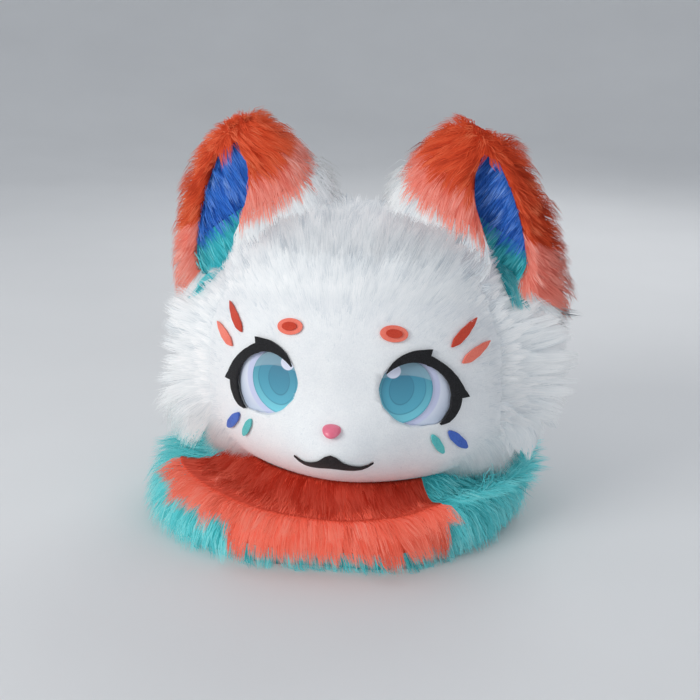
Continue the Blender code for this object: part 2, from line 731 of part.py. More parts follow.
def ruff_profiles(azimuth):
    """Outer and inner outline of the ruff from the head's rim to the hem, each (radius, z)."""
    foot, crest, top = from_table(RUFF, azimuth)
    land_in = ellipse_radius(LAND_INNER, azimuth)
    land_out = ellipse_radius(LAND_OUTER, azimuth)
    valley = land_out + (crest - land_out) * 0.45
    valley_z = 38.0 + top * 0.25
    shoulder = crest + 0.55 * (foot - crest) + 7.0
    outer = [
        (land_in, LAND_Z), (land_out, LAND_Z), (valley, valley_z), (crest - 7.0, top - 4.0), (crest + 3.0, top),
        (shoulder, top * 0.72), (foot + 6.0, top * 0.36), (foot, 0.0),
    ]
    inner = [
        (land_in, LAND_Z - RUFF_WALL), (land_out, LAND_Z - RUFF_WALL - 2.0), (valley + 5.0, valley_z - RUFF_WALL),
        (crest - 6.0, top - 16.0), (crest - 2.0, top - 15.0), (shoulder - RUFF_WALL, top * 0.72 - 3.0),
        (foot + 6.0 - RUFF_WALL, top * 0.36), (foot - RUFF_WALL, 0.0),
    ]
    return outer, inner


def bib_end_row(azimuth):
    end = 0
    for column in BIB:
        if azimuth >= column.azimuth:
            end = column.end_row
    return end


def build_ruff():
    step = 360.0 / RUFF_COLUMNS
    azimuths = [step * column - 180.0 for column in range(RUFF_COLUMNS)]
    profiles = [ruff_profiles(azimuth) for azimuth in azimuths]
    rows = len(profiles[0][0])
    outer = []
    inner = []
    for row in range(rows):
        outer.append([around(p[0][row][0], a, p[0][row][1]) for a, p in zip(azimuths, profiles)])
        inner.append([around(p[1][row][0], a, p[1][row][1]) for a, p in zip(azimuths, profiles)])

    def lock(row, column, corners):
        if row < 2:
            return None
        beneath = (inner[row][column] + inner[row + 1][column]) / 2
        middle, normal = cell_frame(corners, (corners[0] + corners[3]) / 2 - beneath)
        down = ((corners[2] + corners[3]) - (corners[0] + corners[1])).normalized()
        factor = variation(row, column) * (0.4 if row == 2 else 1.0)
        apex = middle + normal * RUFF_LOCK_OUT * factor + down * RUFF_LOCK_ALONG * factor
        apex.z = max(apex.z, RUFF_LOCK_CLEAR)
        return apex

    bib = []
    rest = []
    for row, column in every_cell(rows - 1, RUFF_COLUMNS):
        is_bib = BIB_FIRST_ROW <= row < bib_end_row(azimuths[column] + step / 2)
        (bib if is_bib else rest).append((row, column))
    slab("ruff_teal", outer, inner, rest, "teal", lock=lock, inset=SEAM_INSET)
    slab("ruff_bib", outer, inner, bib, "coral", lock=lock, inset=SEAM_INSET)


for left_over in list(bpy.data.objects):
    bpy.data.objects.remove(left_over, do_unlink=True)

head_shell = build_shell()
head_fur = build_coat()
coat_points = [v.co / MM - CENTRE_SHIFT for v in head_fur.data.vertices]
coat_tree = BVHTree.FromPolygons(coat_points, [list(p.vertices) for p in head_fur.data.polygons])
for head_side in ("left", "right"):
    cut_eye_opening(head_shell, head_side)
    build_eye(head_side)
    build_marks(head_side)
    build_ear(head_side, coat_tree)
build_mouth()
build_nose()
build_ruff()
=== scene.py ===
"""Looks of a fursuit head: short pile, long fur, cupped ears, ringed eyes and a flared ruff.

Sizes and tables are in millimetres and degrees and repeat those of the part. Left is the wearer's own, +X.
"""
import math
from collections import namedtuple

import bmesh
import bpy
import numpy as np
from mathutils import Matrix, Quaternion, Vector, noise
from mathutils.kdtree import KDTree


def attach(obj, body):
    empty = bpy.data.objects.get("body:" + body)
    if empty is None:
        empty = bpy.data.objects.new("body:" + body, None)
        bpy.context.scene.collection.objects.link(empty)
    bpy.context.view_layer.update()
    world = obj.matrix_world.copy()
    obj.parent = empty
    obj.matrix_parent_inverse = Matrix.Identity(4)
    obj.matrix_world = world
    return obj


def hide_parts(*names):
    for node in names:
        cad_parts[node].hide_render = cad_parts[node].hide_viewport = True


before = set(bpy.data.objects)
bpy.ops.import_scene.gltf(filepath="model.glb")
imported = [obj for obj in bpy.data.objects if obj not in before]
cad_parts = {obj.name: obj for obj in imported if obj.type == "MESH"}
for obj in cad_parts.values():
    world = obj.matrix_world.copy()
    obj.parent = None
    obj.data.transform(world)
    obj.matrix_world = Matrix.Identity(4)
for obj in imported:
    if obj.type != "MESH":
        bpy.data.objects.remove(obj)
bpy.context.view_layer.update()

MM = 0.001
WELD_AT = 2e-6               # points this near to each other, in metres, become one
CENTRE_SHIFT = np.array((0.5, 4.5, 0.0))    # from the tables' frame to the part's origin
UP = np.array((0.0, 0.0, 1.0))
SIDES = (("left", 1), ("right", -1))

# Head form
HEAD_HALF_WIDTH = 160.0
HEAD_HALF_DEPTH = 150.0
HEAD_MIDDLE_Z = 165.0
HEAD_MIDDLE = np.array((0.0, 0.0, HEAD_MIDDLE_Z))
HEAD_RISE = 128.0
HEAD_DROP = 108.0
RISE_POWER = 2.2
DROP_POWER = 4.0
RIM_Z = 70.0
MUZZLE_OUT = 28.0
MUZZLE_HALF_WIDTH = 50.0
MUZZLE_HALF_HEIGHT = 34.0
MUZZLE_Z = 115.0
SHELL_WALL = 18.0
SHELL_COLUMNS = 128
SHELL_ROWS = 56
EYE_CUT_Y = (-230.0, -50.0)  # the cutter of an eye's opening reaches over this depth
FACE_FUZZ_STRANDS = 27000
FACE_FUZZ_SEED = 11

Hairline = namedtuple("Hairline", "azimuth height")
HAIRLINE = [
    Hairline(0, 240), Hairline(16, 240), Hairline(30, 238), Hairline(44, 235), Hairline(53, 230),
    Hairline(57, 214), Hairline(60, 160), Hairline(63, 106), Hairline(68, 94), Hairline(180, 92),
]
FACE_HALF_AZIMUTH = 64.0     # the face lies between these azimuths to left and right
# Azimuths where the hairline is measured, closer together where it drops beside the face
HAIRLINE_SAMPLES = np.concatenate([
    np.linspace(-63, -52, 60), np.linspace(-52, 52, 160), np.linspace(52, 63, 60),
])
MEASURED_AT_ONCE = 4000      # points measured together, to save memory
COAT_EDGE_SUNK = 2.5         # the coat's edge lies in the face's pile, so no edge shows
COAT_RISE_OVER = 55.0        # the backing thickens over this way in from the face
Coat = namedtuple("Coat", "azimuth pile cheek_extra hair_length")
COAT = [
    Coat(0, 9, 0, 32), Coat(48, 9, 2, 33), Coat(64, 10, 18, 37), Coat(80, 10, 20, 42),
    Coat(105, 10, 20, 42), Coat(140, 12, 8, 38), Coat(180, 13, 2, 36),
]
COAT_BACKING_SHARE = 0.75    # how much of the coat's depth its backing fills
CoatTufts = namedtuple("CoatTufts", "streaks height")
COAT_TUFTS = (CoatTufts(np.array((0.08, 0.08, 0.3)), 3.6), CoatTufts(np.array((0.22, 0.22, 0.5)), 1.4))
COAT_COLUMNS = 168
COAT_ROWS = 54
COAT_CROWN_TO = 50.0         # azimuths that part the crown's fur, the cheeks' and the nape's
COAT_NAPE_FROM = 125.0
CHEEK_Z = 114.0
CHEEK_SPREAD_UP = 58.0
CHEEK_SPREAD_DOWN = 95.0
NAP_CENTRE = np.array((0.0, -150.0, 150.0))

# Ears
EarLevel = namedtuple("EarLevel", "medial_x medial_z lateral_x lateral_z half_depth arch slit_from slit_to")
EAR_LEVELS = [
    EarLevel(34, 304, 156, 198, 36, 0, 104, 128),
    EarLevel(36, 324, 187, 219, 36, 10, 98, 129),
    EarLevel(42, 336, 192, 237, 35, 4, 90, 130),
    EarLevel(54, 351, 184, 275, 32, 0, 77, 131),
    EarLevel(66, 367, 172, 314, 27, 0, 74, 126),
    EarLevel(80, 379, 156, 347, 21, 0, 86, 112),
    EarLevel(92, 386, 133, 374, 13, 0, 94, 104),
    EarLevel(106, 389, 106, 389, 0, 0, 94, 104),
]
EAR_STEPS = 5                # rows of mesh to each level of the table
EAR_WALL_COLUMNS = 60
EAR_SLIT_COLUMNS = 6
EAR_WALL = 12.0
EAR_SKIN_INSET = 1.5
EAR_SUNK = 7.0               # how far the foot sits down in the coat
EAR_LEAN = {"left": -8.0, "right": 17.0}
EAR_LEAN_FROM_Z = 230.0
EAR_LEAN_SPAN = 160.0
SLIT_TOP_LEVEL = 5
SLIT_FOOT = (128.0, 232.0)   # x and z of the coat before the slit's lower end
SLIT_SHIFT = {               # degrees added to slit_from and slit_to at each level
    "left": ((0, 0), (0, 0), (0, 0), (0, 0), (0, 0), (0, 0), (0, 0), (0, 0)),
    "right": ((-4, 26), (-6, 20), (-6, 14), (-6, 9), (-6, 6), (-6, 6), (-6, 6), (-6, 6)),
}
EarBand = namedtuple("EarBand", "name first_level end_level dye strands")
EAR_BANDS = [
    EarBand("ear_root", 0, 2, "white", 4600), EarBand("ear_middle", 2, 3, "coral", 3400),
    EarBand("ear_tip", 3, 7, "red", 5000),
]
EAR_SWEEP = 0.35             # how far the ear's fur is brushed in towards the crown
EAR_FLUFF = {1: np.array((0.7, -0.1, -0.25)), -1: np.array((-0.5, -0.1, -0.55))}
EAR_FUR_SEED = 40
# Levels where coral and red begin, round the ear from its inner edge by the front
EarDye = namedtuple("EarDye", "angle coral_from red_from")
EAR_DYES = [
    EarDye(0, 3.0, 4.3), EarDye(30, 2.1, 3.6), EarDye(55, 1.7, 3.3), EarDye(85, 2.0, 3.3),
    EarDye(103, 2.0, 3.2), EarDye(128, 1.1, 3.0), EarDye(180, 1.0, 3.1), EarDye(270, 1.8, 3.5),
    EarDye(330, 2.6, 4.0), EarDye(360, 3.0, 4.3),
]
RIM_STEPS = 4                # cells across the slit's thick edge
RIM_STRANDS = 34             # hairs for each row of cells on it
Tuft = namedtuple("Tuft", "start end half_width")
TUFTS = {
    "left": Tuft(np.array((134.0, -14.0, 257.0)), np.array((143.0, -30.0, 240.0)), 9.0),
    "right": Tuft(np.array((-150.0, -16.0, 244.0)), np.array((-157.0, -26.0, 228.0)), 8.5),
}
TUFT_STRANDS = 760
TUFT_SEED = 80
EAR_CUP_Y = -6.0             # the lining's back swells forward to about here
EAR_LINING_GAP = 0.5
EAR_LINING_THICK = 4.0
LiningBand = namedtuple("LiningBand", "name first_level end_level dye strands")
EAR_LININGS = [
    LiningBand("ear_lining_lower", 0.0, 2.38, "teal", 1700),
    LiningBand("ear_lining_upper", 2.4, 5.0, "blue", 1700),
]
LINING_ROWS = 17
LINING_SEED = 60

# Eyes
EYE_MIDDLE = (68.0, 166.0)
EYE_DEEP = 5.0
EYE_OUTER_RISE = 3.6         # the plate's outer side lies this much less deep
PLATE_THICK = 2.0
EyeOutline = namedtuple("EyeOutline", "angle radius")
EYE_OUTLINE = [
    EyeOutline(-90, 30), EyeOutline(-72, 32.5), EyeOutline(-54, 36.5), EyeOutline(-34, 34.5),
    EyeOutline(-12, 31.3), EyeOutline(14, 29), EyeOutline(38, 28), EyeOutline(62, 28.6),
    EyeOutline(90, 30.2), EyeOutline(115, 32.6), EyeOutline(140, 34), EyeOutline(165, 32.8),
    EyeOutline(193, 30), EyeOutline(218, 27.6), EyeOutline(245, 28), EyeOutline(270, 30),
]
EYE_SIDES = 72
LashPoint = namedtuple("LashPoint", "angle inner outer")
LASH = [
    LashPoint(143, 32.8, 33.2), LashPoint(136, 32.2, 34.4), LashPoint(126, 31.4, 36.2),
    LashPoint(113, 30.6, 37.8), LashPoint(97, 29.3, 39), LashPoint(84, 28, 39.4), LashPoint(74, 27, 40.6),
    LashPoint(73.4, 26.6, 35.2), LashPoint(58, 26.2, 33.6), LashPoint(43, 26, 33.6),
    LashPoint(28, 26.6, 34.6), LashPoint(12, 27.6, 37), LashPoint(0, 28.6, 40), LashPoint(-10, 29.8, 45),
    LashPoint(-11.5, 29.9, 38.7), LashPoint(-24, 31.6, 40.3), LashPoint(-37, 33.4, 41),
    LashPoint(-46, 34.6, 40.4), LashPoint(-55, 36, 37),
]
LASH_THICK = 2.4
LASH_STEPS = 4               # columns of mesh to each step of the table
IRIS_THICK = 1.2
IRIS_EDGE_GAP = 0.6
PIECE_GAP = 0.35
FACE_LIFT = 0.8

# Print on the eyes
Oval = namedtuple("Oval", "middle half")
# the eye's white greys towards this rim: painted shade of the recess
EYE_RIM_SHADE = Oval(EYE_MIDDLE, (33.5, 33.0))
IRIS = Oval((58.5, 168.5), (24.0, 28.5))
CRESCENT = Oval((60.5, 167.5), (28.6, 33.0))
IRIS_RING = Oval((58.0, 170.0), (18.5, 21.5))
IRIS_HEART = Oval((56.5, 171.0), (10.3, 13.8))
# a pale band over the top of the iris: a painted reflection
LID_REFLECTION = Oval((56.0, 148.0), (46.0, 36.0))
SPARK = Oval((48.6, 187.2), (6.6, 6.4))
# the iris darkens from the low height to the high one, partly print and partly painted shade under the lash
IRIS_LOW_Z = 142.0
IRIS_HIGH_Z = 192.0
FULL_TO_NONE = (1.0, 0.0)

# Marks on the face
Stroke = namedtuple("Stroke", "name dye from_x from_z to_x to_z widths")
STROKES = [
    Stroke("cheek_stripe_upper", "red", 95, 205, 114, 225, (3.0, 8.0, 8.5, 6.0, 2.0)),
    Stroke("cheek_stripe_lower", "coral", 105, 190, 127, 204, (3.0, 8.5, 9.0, 6.5, 2.0)),
    Stroke("blush_stroke_outer", "blue", 97, 128, 113, 106, (4.0, 8.0, 8.0, 4.0)),
    Stroke("blush_stroke_inner", "teal", 83, 127, 93, 106, (3.5, 6.5, 6.5, 3.5)),
]
STROKE_THICK = 1.6
BROW_MIDDLE = (46.0, 219.0)
BROW_HALF = (12.0, 6.6)
BROW_SPOT_HALF = (7.0, 3.4)
BROW_TILT = 8.0
BROW_THICK = 1.4
BROW_SPOT_THICK = 1.0
MouthSection = namedtuple("MouthSection", "x low high")
MOUTH = [
    MouthSection(-35, 108.2, 109.4), MouthSection(-30, 104.8, 106.8), MouthSection(-25, 103, 106),
    MouthSection(-19, 103, 107.6), MouthSection(-12, 104.2, 111), MouthSection(-5, 105.6, 117),
    MouthSection(0, 106, 119), MouthSection(5, 105.6, 117), MouthSection(12, 104.2, 111),
    MouthSection(19, 103, 107.6), MouthSection(25, 103, 106), MouthSection(30, 104.8, 106.8),
    MouthSection(35, 108.2, 109.4),
]
MOUTH_THICK = 1.4
NOSE_MIDDLE = (-1.0, 138.0)
NOSE_HALF = (8.4, 5.2)
NOSE_OUT = 7.0

# Ruff
RuffStation = namedtuple("RuffStation", "azimuth foot crest_radius crest_z")
RUFF = [
    RuffStation(-180, 158, 158, 62), RuffStation(-125, 172, 170, 58), RuffStation(-90, 190, 180, 56),
    RuffStation(-75, 200, 184, 60), RuffStation(-60, 207, 188, 62), RuffStation(-45, 200, 184, 62),
    RuffStation(-30, 187, 174, 56), RuffStation(0, 163, 157, 50), RuffStation(22, 168, 156, 54),
    RuffStation(40, 162, 154, 64), RuffStation(60, 160, 162, 66), RuffStation(90, 162, 168, 60),
    RuffStation(125, 162, 166, 60), RuffStation(180, 158, 158, 62),
]
RUFF_COLUMNS = 144
RUFF_STEPS = 4
LAND_INNER = (112.0, 104.0)
LAND_OUTER = (124.0, 116.0)
LAND_Z = RIM_Z - PIECE_GAP
RUFF_WALL = 12.0
RUFF_SKIN_INSET = 3.0
BibColumn = namedtuple("BibColumn", "azimuth end_row")
BIB = [BibColumn(-67.5, 4), BibColumn(-52.5, 5), BibColumn(-30.0, 6), BibColumn(37.5, 0)]
BIB_FIRST_ROW = 1
BIB_HAIR_END = 37.3          # its last roots are this far round
BIB_HAIR_LOW = 12.0          # its tips end here, and the teal hem shows below
TEAL_HAIR_LOW = 0.6          # the teal tips end here, just above the ground
RUFF_SWEEP = 0.3

# Fur: a hair's width and stray, then shares: how lengths vary in a lock, how locks differ, how tips droop,
# how far the shading leans to the skin, how many hairs are bent. A lock holds tips and middles to its lead.
Style = namedtuple("Style", "width stray vary tuft droop soft bent locks")
Lock = namedtuple("Lock", "size hold_tip hold_middle")
FUZZ = Style(0.62, 8.0, 0.5, 0.0, 0.0, 0.88, 0.0, (Lock(7.0, 0.35, 0.0),))
SPIKY = Style(0.9, 6.0, 0.4, 0.14, 0.05, 0.78, 0.27, (Lock(4.5, 0.4, 0.25), Lock(14.0, 0.68, 0.3)))
BRUSHED = Style(0.85, 5.0, 0.4, 0.07, 0.05, 0.8, 0.27, (Lock(4.0, 0.4, 0.2), Lock(12.0, 0.45, 0.2)))
SILKY = Style(0.8, 3.5, 0.45, 0.03, 0.03, 0.84, 0.27, (Lock(3.2, 0.3, 0.15), Lock(9.0, 0.3, 0.1)))
SPILLED = Style(0.9, 7.0, 0.5, 0.1, 0.0, 0.78, 0.4, (Lock(4.5, 0.45, 0.3), Lock(9.0, 0.4, 0.15)))
EAR_STYLE = Style(0.85, 7.0, 0.5, 0.1, 0.04, 0.75, 0.33, (Lock(5.0, 0.5, 0.3), Lock(12.0, 0.4, 0.15)))
LINING_STYLE = Style(0.95, 6.0, 0.5, 0.05, 0.0, 0.75, 0.4, (Lock(4.5, 0.5, 0.3), Lock(10.0, 0.35, 0.1)))
RUFF_STYLE = Style(0.95, 7.0, 0.5, 0.1, 0.05, 0.72, 0.3, (Lock(5.0, 0.5, 0.3), Lock(13.0, 0.4, 0.15)))
ROOT_SUNK = 0.6              # a hair's foot lies this far down in its backing
ROOT_SHARE = 0.5             # how thick it is at its root and middle, as a share of its width
MIDDLE_SHARE = 0.42
HAIR_FLATNESS = 0.6
BENT_POINTS = 7
STRAIGHT_POINTS = 4
BENT_CELL = ((0.2, 0.15), (0.5, 0.1), (0.8, 0.15), (0.25, 0.5), (0.5, 0.45), (0.75, 0.5), (0.5, 0.9))
STRAIGHT_CELL = ((0.2, 0.15), (0.5, 0.1), (0.8, 0.15), (0.5, 0.9))

# Studio
Lamp = namedtuple("Lamp", "name place size power colour")
LAMPS = (
    Lamp("key_light", (-1.6, -1.6, 1.1), 1.2, 30.0, (1.0, 0.99, 0.97)),
    Lamp("fill_light", (1.6, -1.3, 0.8), 1.4, 5.0, (0.94, 0.97, 1.0)),
    Lamp("back_light", (0.4, 1.6, 1.5), 1.2, 11.0, (1.0, 1.0, 1.0)),
)
LAMPS_AIM = Vector((0, 0, 0.18))
AMBIENT_COLOUR = (0.86, 0.90, 0.96, 1.0)
AMBIENT_STRENGTH = 0.66
FLOOR_SIZE = 16.0
FLOOR_FLAT_TO = 2.4          # the paper curves up beyond this distance
FLOOR_CURVE = 0.22
CAMERA_AIM = Vector((-0.014, 0.0045, 0.1579))
CAMERA_AWAY = 1.05
CAMERA_AROUND = 9.5
CAMERA_ABOVE = 18.0
CAMERA_ROLL = 1.3
SENSOR_WIDTH = 36.0
FOCAL_LENGTH = 52.97


# Small maths

def ease(share):
    share = np.clip(share, 0.0, 1.0)
    return share * share * (3 - 2 * share)


def ramp(value, start, end):
    """0 at the start and before it, 1 at the end and past it, eased between."""
    return ease((value - start) / (end - start))


def hump(value, middle, reach):
    """1 at the middle, down to about a third at the reach on either side of it."""
    return np.exp(-((value - middle) / reach) ** 2)


def from_table(rows, position):
    """Values of a table's other columns, last axis, at positions in its first one, eased between rows."""
    keys = np.array([row[0] for row in rows], float)
    values = np.array([row[1:] for row in rows], float)
    position = np.clip(np.asarray(position, float), keys[0], keys[-1])
    low = np.clip(np.searchsorted(keys, position, side="right") - 1, 0, len(keys) - 2)
    share = ease((position - keys[low]) / (keys[low + 1] - keys[low]))[..., None]
    return values[low] * (1 - share) + values[low + 1] * share


def straight_table(rows, position):
    """Values of all columns at fractional row numbers, straight between rows."""
    values = np.array(rows, float)
    position = np.asarray(position, float)
    low = np.clip(position.astype(int), 0, len(values) - 2)
    share = (position - low)[..., None]
    return values[low] * (1 - share) + values[low + 1] * share


def unit(vectors):
    length = np.linalg.norm(vectors, axis=-1, keepdims=True)
    return vectors / np.maximum(length, 1e-9)


def dot(a, b):
    return np.sum(a * b, axis=-1, keepdims=True)


def wrap_degrees(angle):
    return (angle + 180.0) % 360.0 - 180.0


def azimuth_of(points):
    return np.degrees(np.arctan2(points[..., 0], -points[..., 1]))


# Materials

def linear(code):
    """A colour written as sRGB hex, in the linear values that shaders take."""
    channels = [int(code[k:k + 2], 16) / 255 for k in (1, 3, 5)]
    return tuple(c / 12.92 if c <= 0.04045 else ((c + 0.055) / 1.055) ** 2.4 for c in channels) + (1.0,)


def add(material, kind, settings=None, inputs=None):
    """Adds a node; an input takes a value, or the output socket that feeds it."""
    made = material.node_tree.nodes.new(kind)
    for name, value in (settings or {}).items():
        setattr(made, name, value)
    for key, value in (inputs or {}).items():
        if isinstance(value, bpy.types.NodeSocket):
            material.node_tree.links.new(value, made.inputs[key])
        else:
            made.inputs[key].default_value = value
    return made


def new_material(name):
    material = bpy.data.materials.new(name)
    material.use_nodes = True
    material.node_tree.nodes.clear()
    return material


def finish_material(material, looks):
    """Joins a surface with these looks to the output."""
    shader = add(material, "ShaderNodeBsdfPrincipled", None, looks)
    add(material, "ShaderNodeOutputMaterial", None, {"Surface": shader.outputs[0]})
    return material


def finish_pattern(material, pattern, colours, relief, looks):
    """Finishes a material whose pattern runs from one colour to another, raised where it has a relief."""
    tint = add(material, "ShaderNodeMix", {"data_type": "RGBA"},
               {"Factor": pattern, "A": linear(colours[0]), "B": linear(colours[1])})
    looks = {"Base Color": tint.outputs["Result"], **looks}
    if relief:
        looks["Normal"] = add(material, "ShaderNodeBump", None, relief).outputs[0]
    return finish_material(material, looks)


def faux_fur(name, deep, root, tip, pale):
    """Acrylic pile: darker at the roots as painted shade among the hairs, paler at the brushed tips, no two
    locks the same.
    """
    material = new_material(name)
    along = add(material, "ShaderNodeAttribute", {"attribute_name": "along"}).outputs["Fac"]
    tone = add(material, "ShaderNodeAttribute", {"attribute_name": "tone"}).outputs["Fac"]
    # painted shade: the root colour is darker than the tip; the tone varies by chance from lock to lock, and
    # callers add painted light and shade to it, which make hairs paler or deeper
    colour = linear(root)
    layers = (("POWER", along, 0.7, tip), ("MULTIPLY", tone, along, pale), ("MULTIPLY", tone, -0.8, deep))
    for operation, first, second, code in layers:
        cover = add(material, "ShaderNodeMath", {"operation": operation, "use_clamp": True},
                    {0: first, 1: second})
        colour = add(material, "ShaderNodeMix", {"data_type": "RGBA"},
                     {"Factor": cover.outputs[0], "A": colour, "B": linear(code)}).outputs["Result"]
    return finish_material(material, {"Base Color": colour, "Roughness": 0.6, "Specular IOR Level": 0.12})


def fur_backing(name, deep, light):
    """The knitted back with the foot of the pile on it: streaks 1 to 2 mm wide that run with the nap."""
    material = new_material(name)
    nap = add(material, "ShaderNodeAttribute", {"attribute_name": "nap"}).outputs["Vector"]
    streaks = add(material, "ShaderNodeTexNoise", None,
                  {"Vector": nap, "Scale": 1.0, "Detail": 3.0}).outputs["Fac"]
    spread = add(material, "ShaderNodeMapRange", None, {"Value": streaks, "From Min": 0.3, "From Max": 0.7})
    relief = {"Strength": 0.4, "Distance": 0.001, "Height": streaks}
    looks = {"Roughness": 0.85, "Specular IOR Level": 0.12}
    return finish_pattern(material, spread.outputs[0], (deep, light), relief, looks)


def short_pile(name, deep, light, grain=900.0, depth=0.0008):
    """Clipped velvet pile: a fine grain about a millimetre wide, soft sheen at grazing angles, no gloss."""
    material = new_material(name)
    place = add(material, "ShaderNodeTexCoord").outputs["Object"]
    grains, clouds = [
        add(material, "ShaderNodeTexNoise", None,
            {"Vector": place, "Scale": scale, "Detail": detail}).outputs["Fac"]
        for scale, detail in ((grain, 3.0), (42.0, 2.0))
    ]
    both = add(material, "ShaderNodeMix", {"data_type": "FLOAT"}, {"Factor": 0.45, "A": grains, "B": clouds})
    spread = add(material, "ShaderNodeMapRange", None,
                 {"Value": both.outputs["Result"], "From Min": 0.35, "From Max": 0.65})
    relief = {"Strength": 0.6, "Distance": depth, "Height": grains}
    looks = {"Roughness": 0.9, "Sheen Weight": 0.3, "Sheen Roughness": 0.5, "Specular IOR Level": 0.2}
    return finish_pattern(material, spread.outputs[0], (deep, light), relief, looks)


def oval_reach(material, place, oval):
    """How far out a place of the print lies in an oval: 0 at its middle, 1 on its rim."""
    for operation, amount in (("SUBTRACT", (*oval.middle, 0.0)), ("DIVIDE", (*oval.half, 1.0))):
        step = add(material, "ShaderNodeVectorMath", {"operation": operation}, {0: place, 1: amount})
        place = step.outputs[0]
    return add(material, "ShaderNodeVectorMath", {"operation": "LENGTH"}, {0: place}).outputs["Value"]


def ink(material, below, reach, ends, amounts, above):
    """Prints a colour over what is below, by one amount up to the first end, by another past the second."""
    cover = add(material, "ShaderNodeMapRange", {"interpolation_type": "SMOOTHSTEP"}, {
        "Value": reach, "From Min": ends[0], "From Max": ends[1], "To Min": amounts[0], "To Max": amounts[1],
    })
    return add(material, "ShaderNodeMix", {"data_type": "RGBA"},
               {"Factor": cover.outputs[0], "A": below, "B": above}).outputs["Result"]


def mesh_weave(material, place):
    """The see-through mesh that eyes are printed on: holes about a millimetre apart, felt more than seen."""
    holes = add(material, "ShaderNodeTexVoronoi", {"voronoi_dimensions": "2D"},
                {"Vector": place, "Scale": 1.1, "Randomness": 0.12})
    return add(material, "ShaderNodeBump", None,
               {"Strength": 0.12, "Distance": 0.0003, "Height": holes.outputs["Distance"]}).outputs[0]


def eye_white_print():
    """Printed mesh of the eye's white: pale lavender greying towards the rim as painted shade of the recess,
    and a lilac crescent by the iris.
    """
    material = new_material("printed_mesh_eye_white")
    place = add(material, "ShaderNodeUVMap", {"uv_map": "Print"}).outputs[0]
    # painted shade, greying the white towards the recessed rim
    rim = oval_reach(material, place, EYE_RIM_SHADE)
    white = ink(material, linear("#e6ecfa"), rim, (0.5, 1.05), (0.0, 0.72), linear("#b9c8de"))
    crescent = oval_reach(material, place, CRESCENT)
    white = ink(material, white, crescent, (0.97, 1.03), FULL_TO_NONE, linear("#cdd3f0"))
    return finish_material(material, {
        "Base Color": white, "Normal": mesh_weave(material, place), "Roughness": 0.42, "Coat Weight": 0.25,
        "Coat Roughness": 0.2,
    })


def iris_print():
    """Printed mesh of the iris: three ovals of teal blue with darker seams, darker towards the top as print
    and as painted shade under the lash, a pale band over its top as a painted reflection, and a spark.
    """
    material = new_material("printed_mesh_iris")
    place = add(material, "ShaderNodeUVMap", {"uv_map": "Print"}).outputs[0]
    tall = add(material, "ShaderNodeSeparateXYZ", None, {0: place}).outputs["Y"]
    # darker towards the top: partly print, partly painted shade under the lash
    print_fall_and_lash_shade = add(material, "ShaderNodeMapRange", None,
               {"Value": tall, "From Min": IRIS_LOW_Z, "From Max": IRIS_HIGH_Z})
    colour, ring_colour, heart_colour = [
        add(material, "ShaderNodeMix", {"data_type": "RGBA"},
            {"Factor": print_fall_and_lash_shade.outputs[0], "A": linear(low), "B": linear(high)}).outputs["Result"]
        for low, high in (("#74cfe0", "#2f8099"), ("#58b7cf", "#2f7f9b"), ("#4aa6c0", "#2a7390"))
    ]
    ovals = ((IRIS_RING, 0.03, "#2f7f9d", ring_colour), (IRIS_HEART, 0.05, "#2d7591", heart_colour))
    for oval, soft, seam, oval_colour in ovals:
        reach = oval_reach(material, place, oval)
        colour = ink(material, colour, reach, (1.0, 1.0 + 2 * soft), FULL_TO_NONE, linear(seam))
        colour = ink(material, colour, reach, (1.0 - soft, 1.0 + soft), FULL_TO_NONE, oval_colour)
    rim = oval_reach(material, place, IRIS)
    colour = ink(material, colour, rim, (0.93, 1.0), (0.0, 0.45), linear("#2c7d9a"))
    # painted reflection: a pale band over the top of the iris
    lid_reflection = oval_reach(material, place, LID_REFLECTION)
    colour = ink(material, colour, lid_reflection, (0.97, 1.0), (0.0, 0.55), linear("#9fb9c6"))
    spark = oval_reach(material, place, SPARK)
    colour = ink(material, colour, spark, (0.9, 1.06), FULL_TO_NONE, linear("#e3e8fb"))
    return finish_material(material, {
        "Base Color": colour, "Normal": mesh_weave(material, place), "Roughness": 0.35, "Coat Weight": 0.4,
        "Coat Roughness": 0.12,
    })


def black_felt(name, dark, lint_colour):
    """Pressed felt: matt black with a faint lint of paler fibres."""
    material = new_material(name)
    place = add(material, "ShaderNodeTexCoord").outputs["Object"]
    lint = add(material, "ShaderNodeTexNoise", None,
               {"Vector": place, "Scale": 1400.0, "Detail": 4.0, "Roughness": 0.7}).outputs["Fac"]
    spread = add(material, "ShaderNodeMapRange", None, {"Value": lint, "From Min": 0.45, "From Max": 0.75})
    relief = {"Strength": 0.5, "Distance": 0.0004, "Height": lint}
    looks = {"Roughness": 0.88, "Sheen Weight": 0.1, "Specular IOR Level": 0.25}
    return finish_pattern(material, spread.outputs[0], (dark, lint_colour), relief, looks)


def cast_resin():
    """Cast polyurethane nose: even pink under a clear satin coat, a wide soft highlight."""
    material = new_material("cast_resin_pink")
    place = add(material, "ShaderNodeTexCoord").outputs["Object"]
    clouds = add(material, "ShaderNodeTexNoise", None, {"Vector": place, "Scale": 160.0, "Detail": 2.0})
    looks = {"Roughness": 0.38, "Coat Weight": 0.35, "Coat Roughness": 0.2}
    return finish_pattern(material, clouds.outputs["Fac"], ("#e2607c", "#f2809a"), None, looks)


def lining_foam():
    """Upholstery foam inside the head: cream, open cells about a millimetre across."""
    material = new_material("upholstery_foam")
    place = add(material, "ShaderNodeTexCoord").outputs["Object"]
    cells = add(material, "ShaderNodeTexVoronoi", None, {"Vector": place, "Scale": 700.0}).outputs["Distance"]
    relief = {"Strength": 0.5, "Distance": 0.0008, "Height": cells}
    return finish_pattern(material, cells, ("#cfc8b6", "#ece7da"), relief, {"Roughness": 0.95})


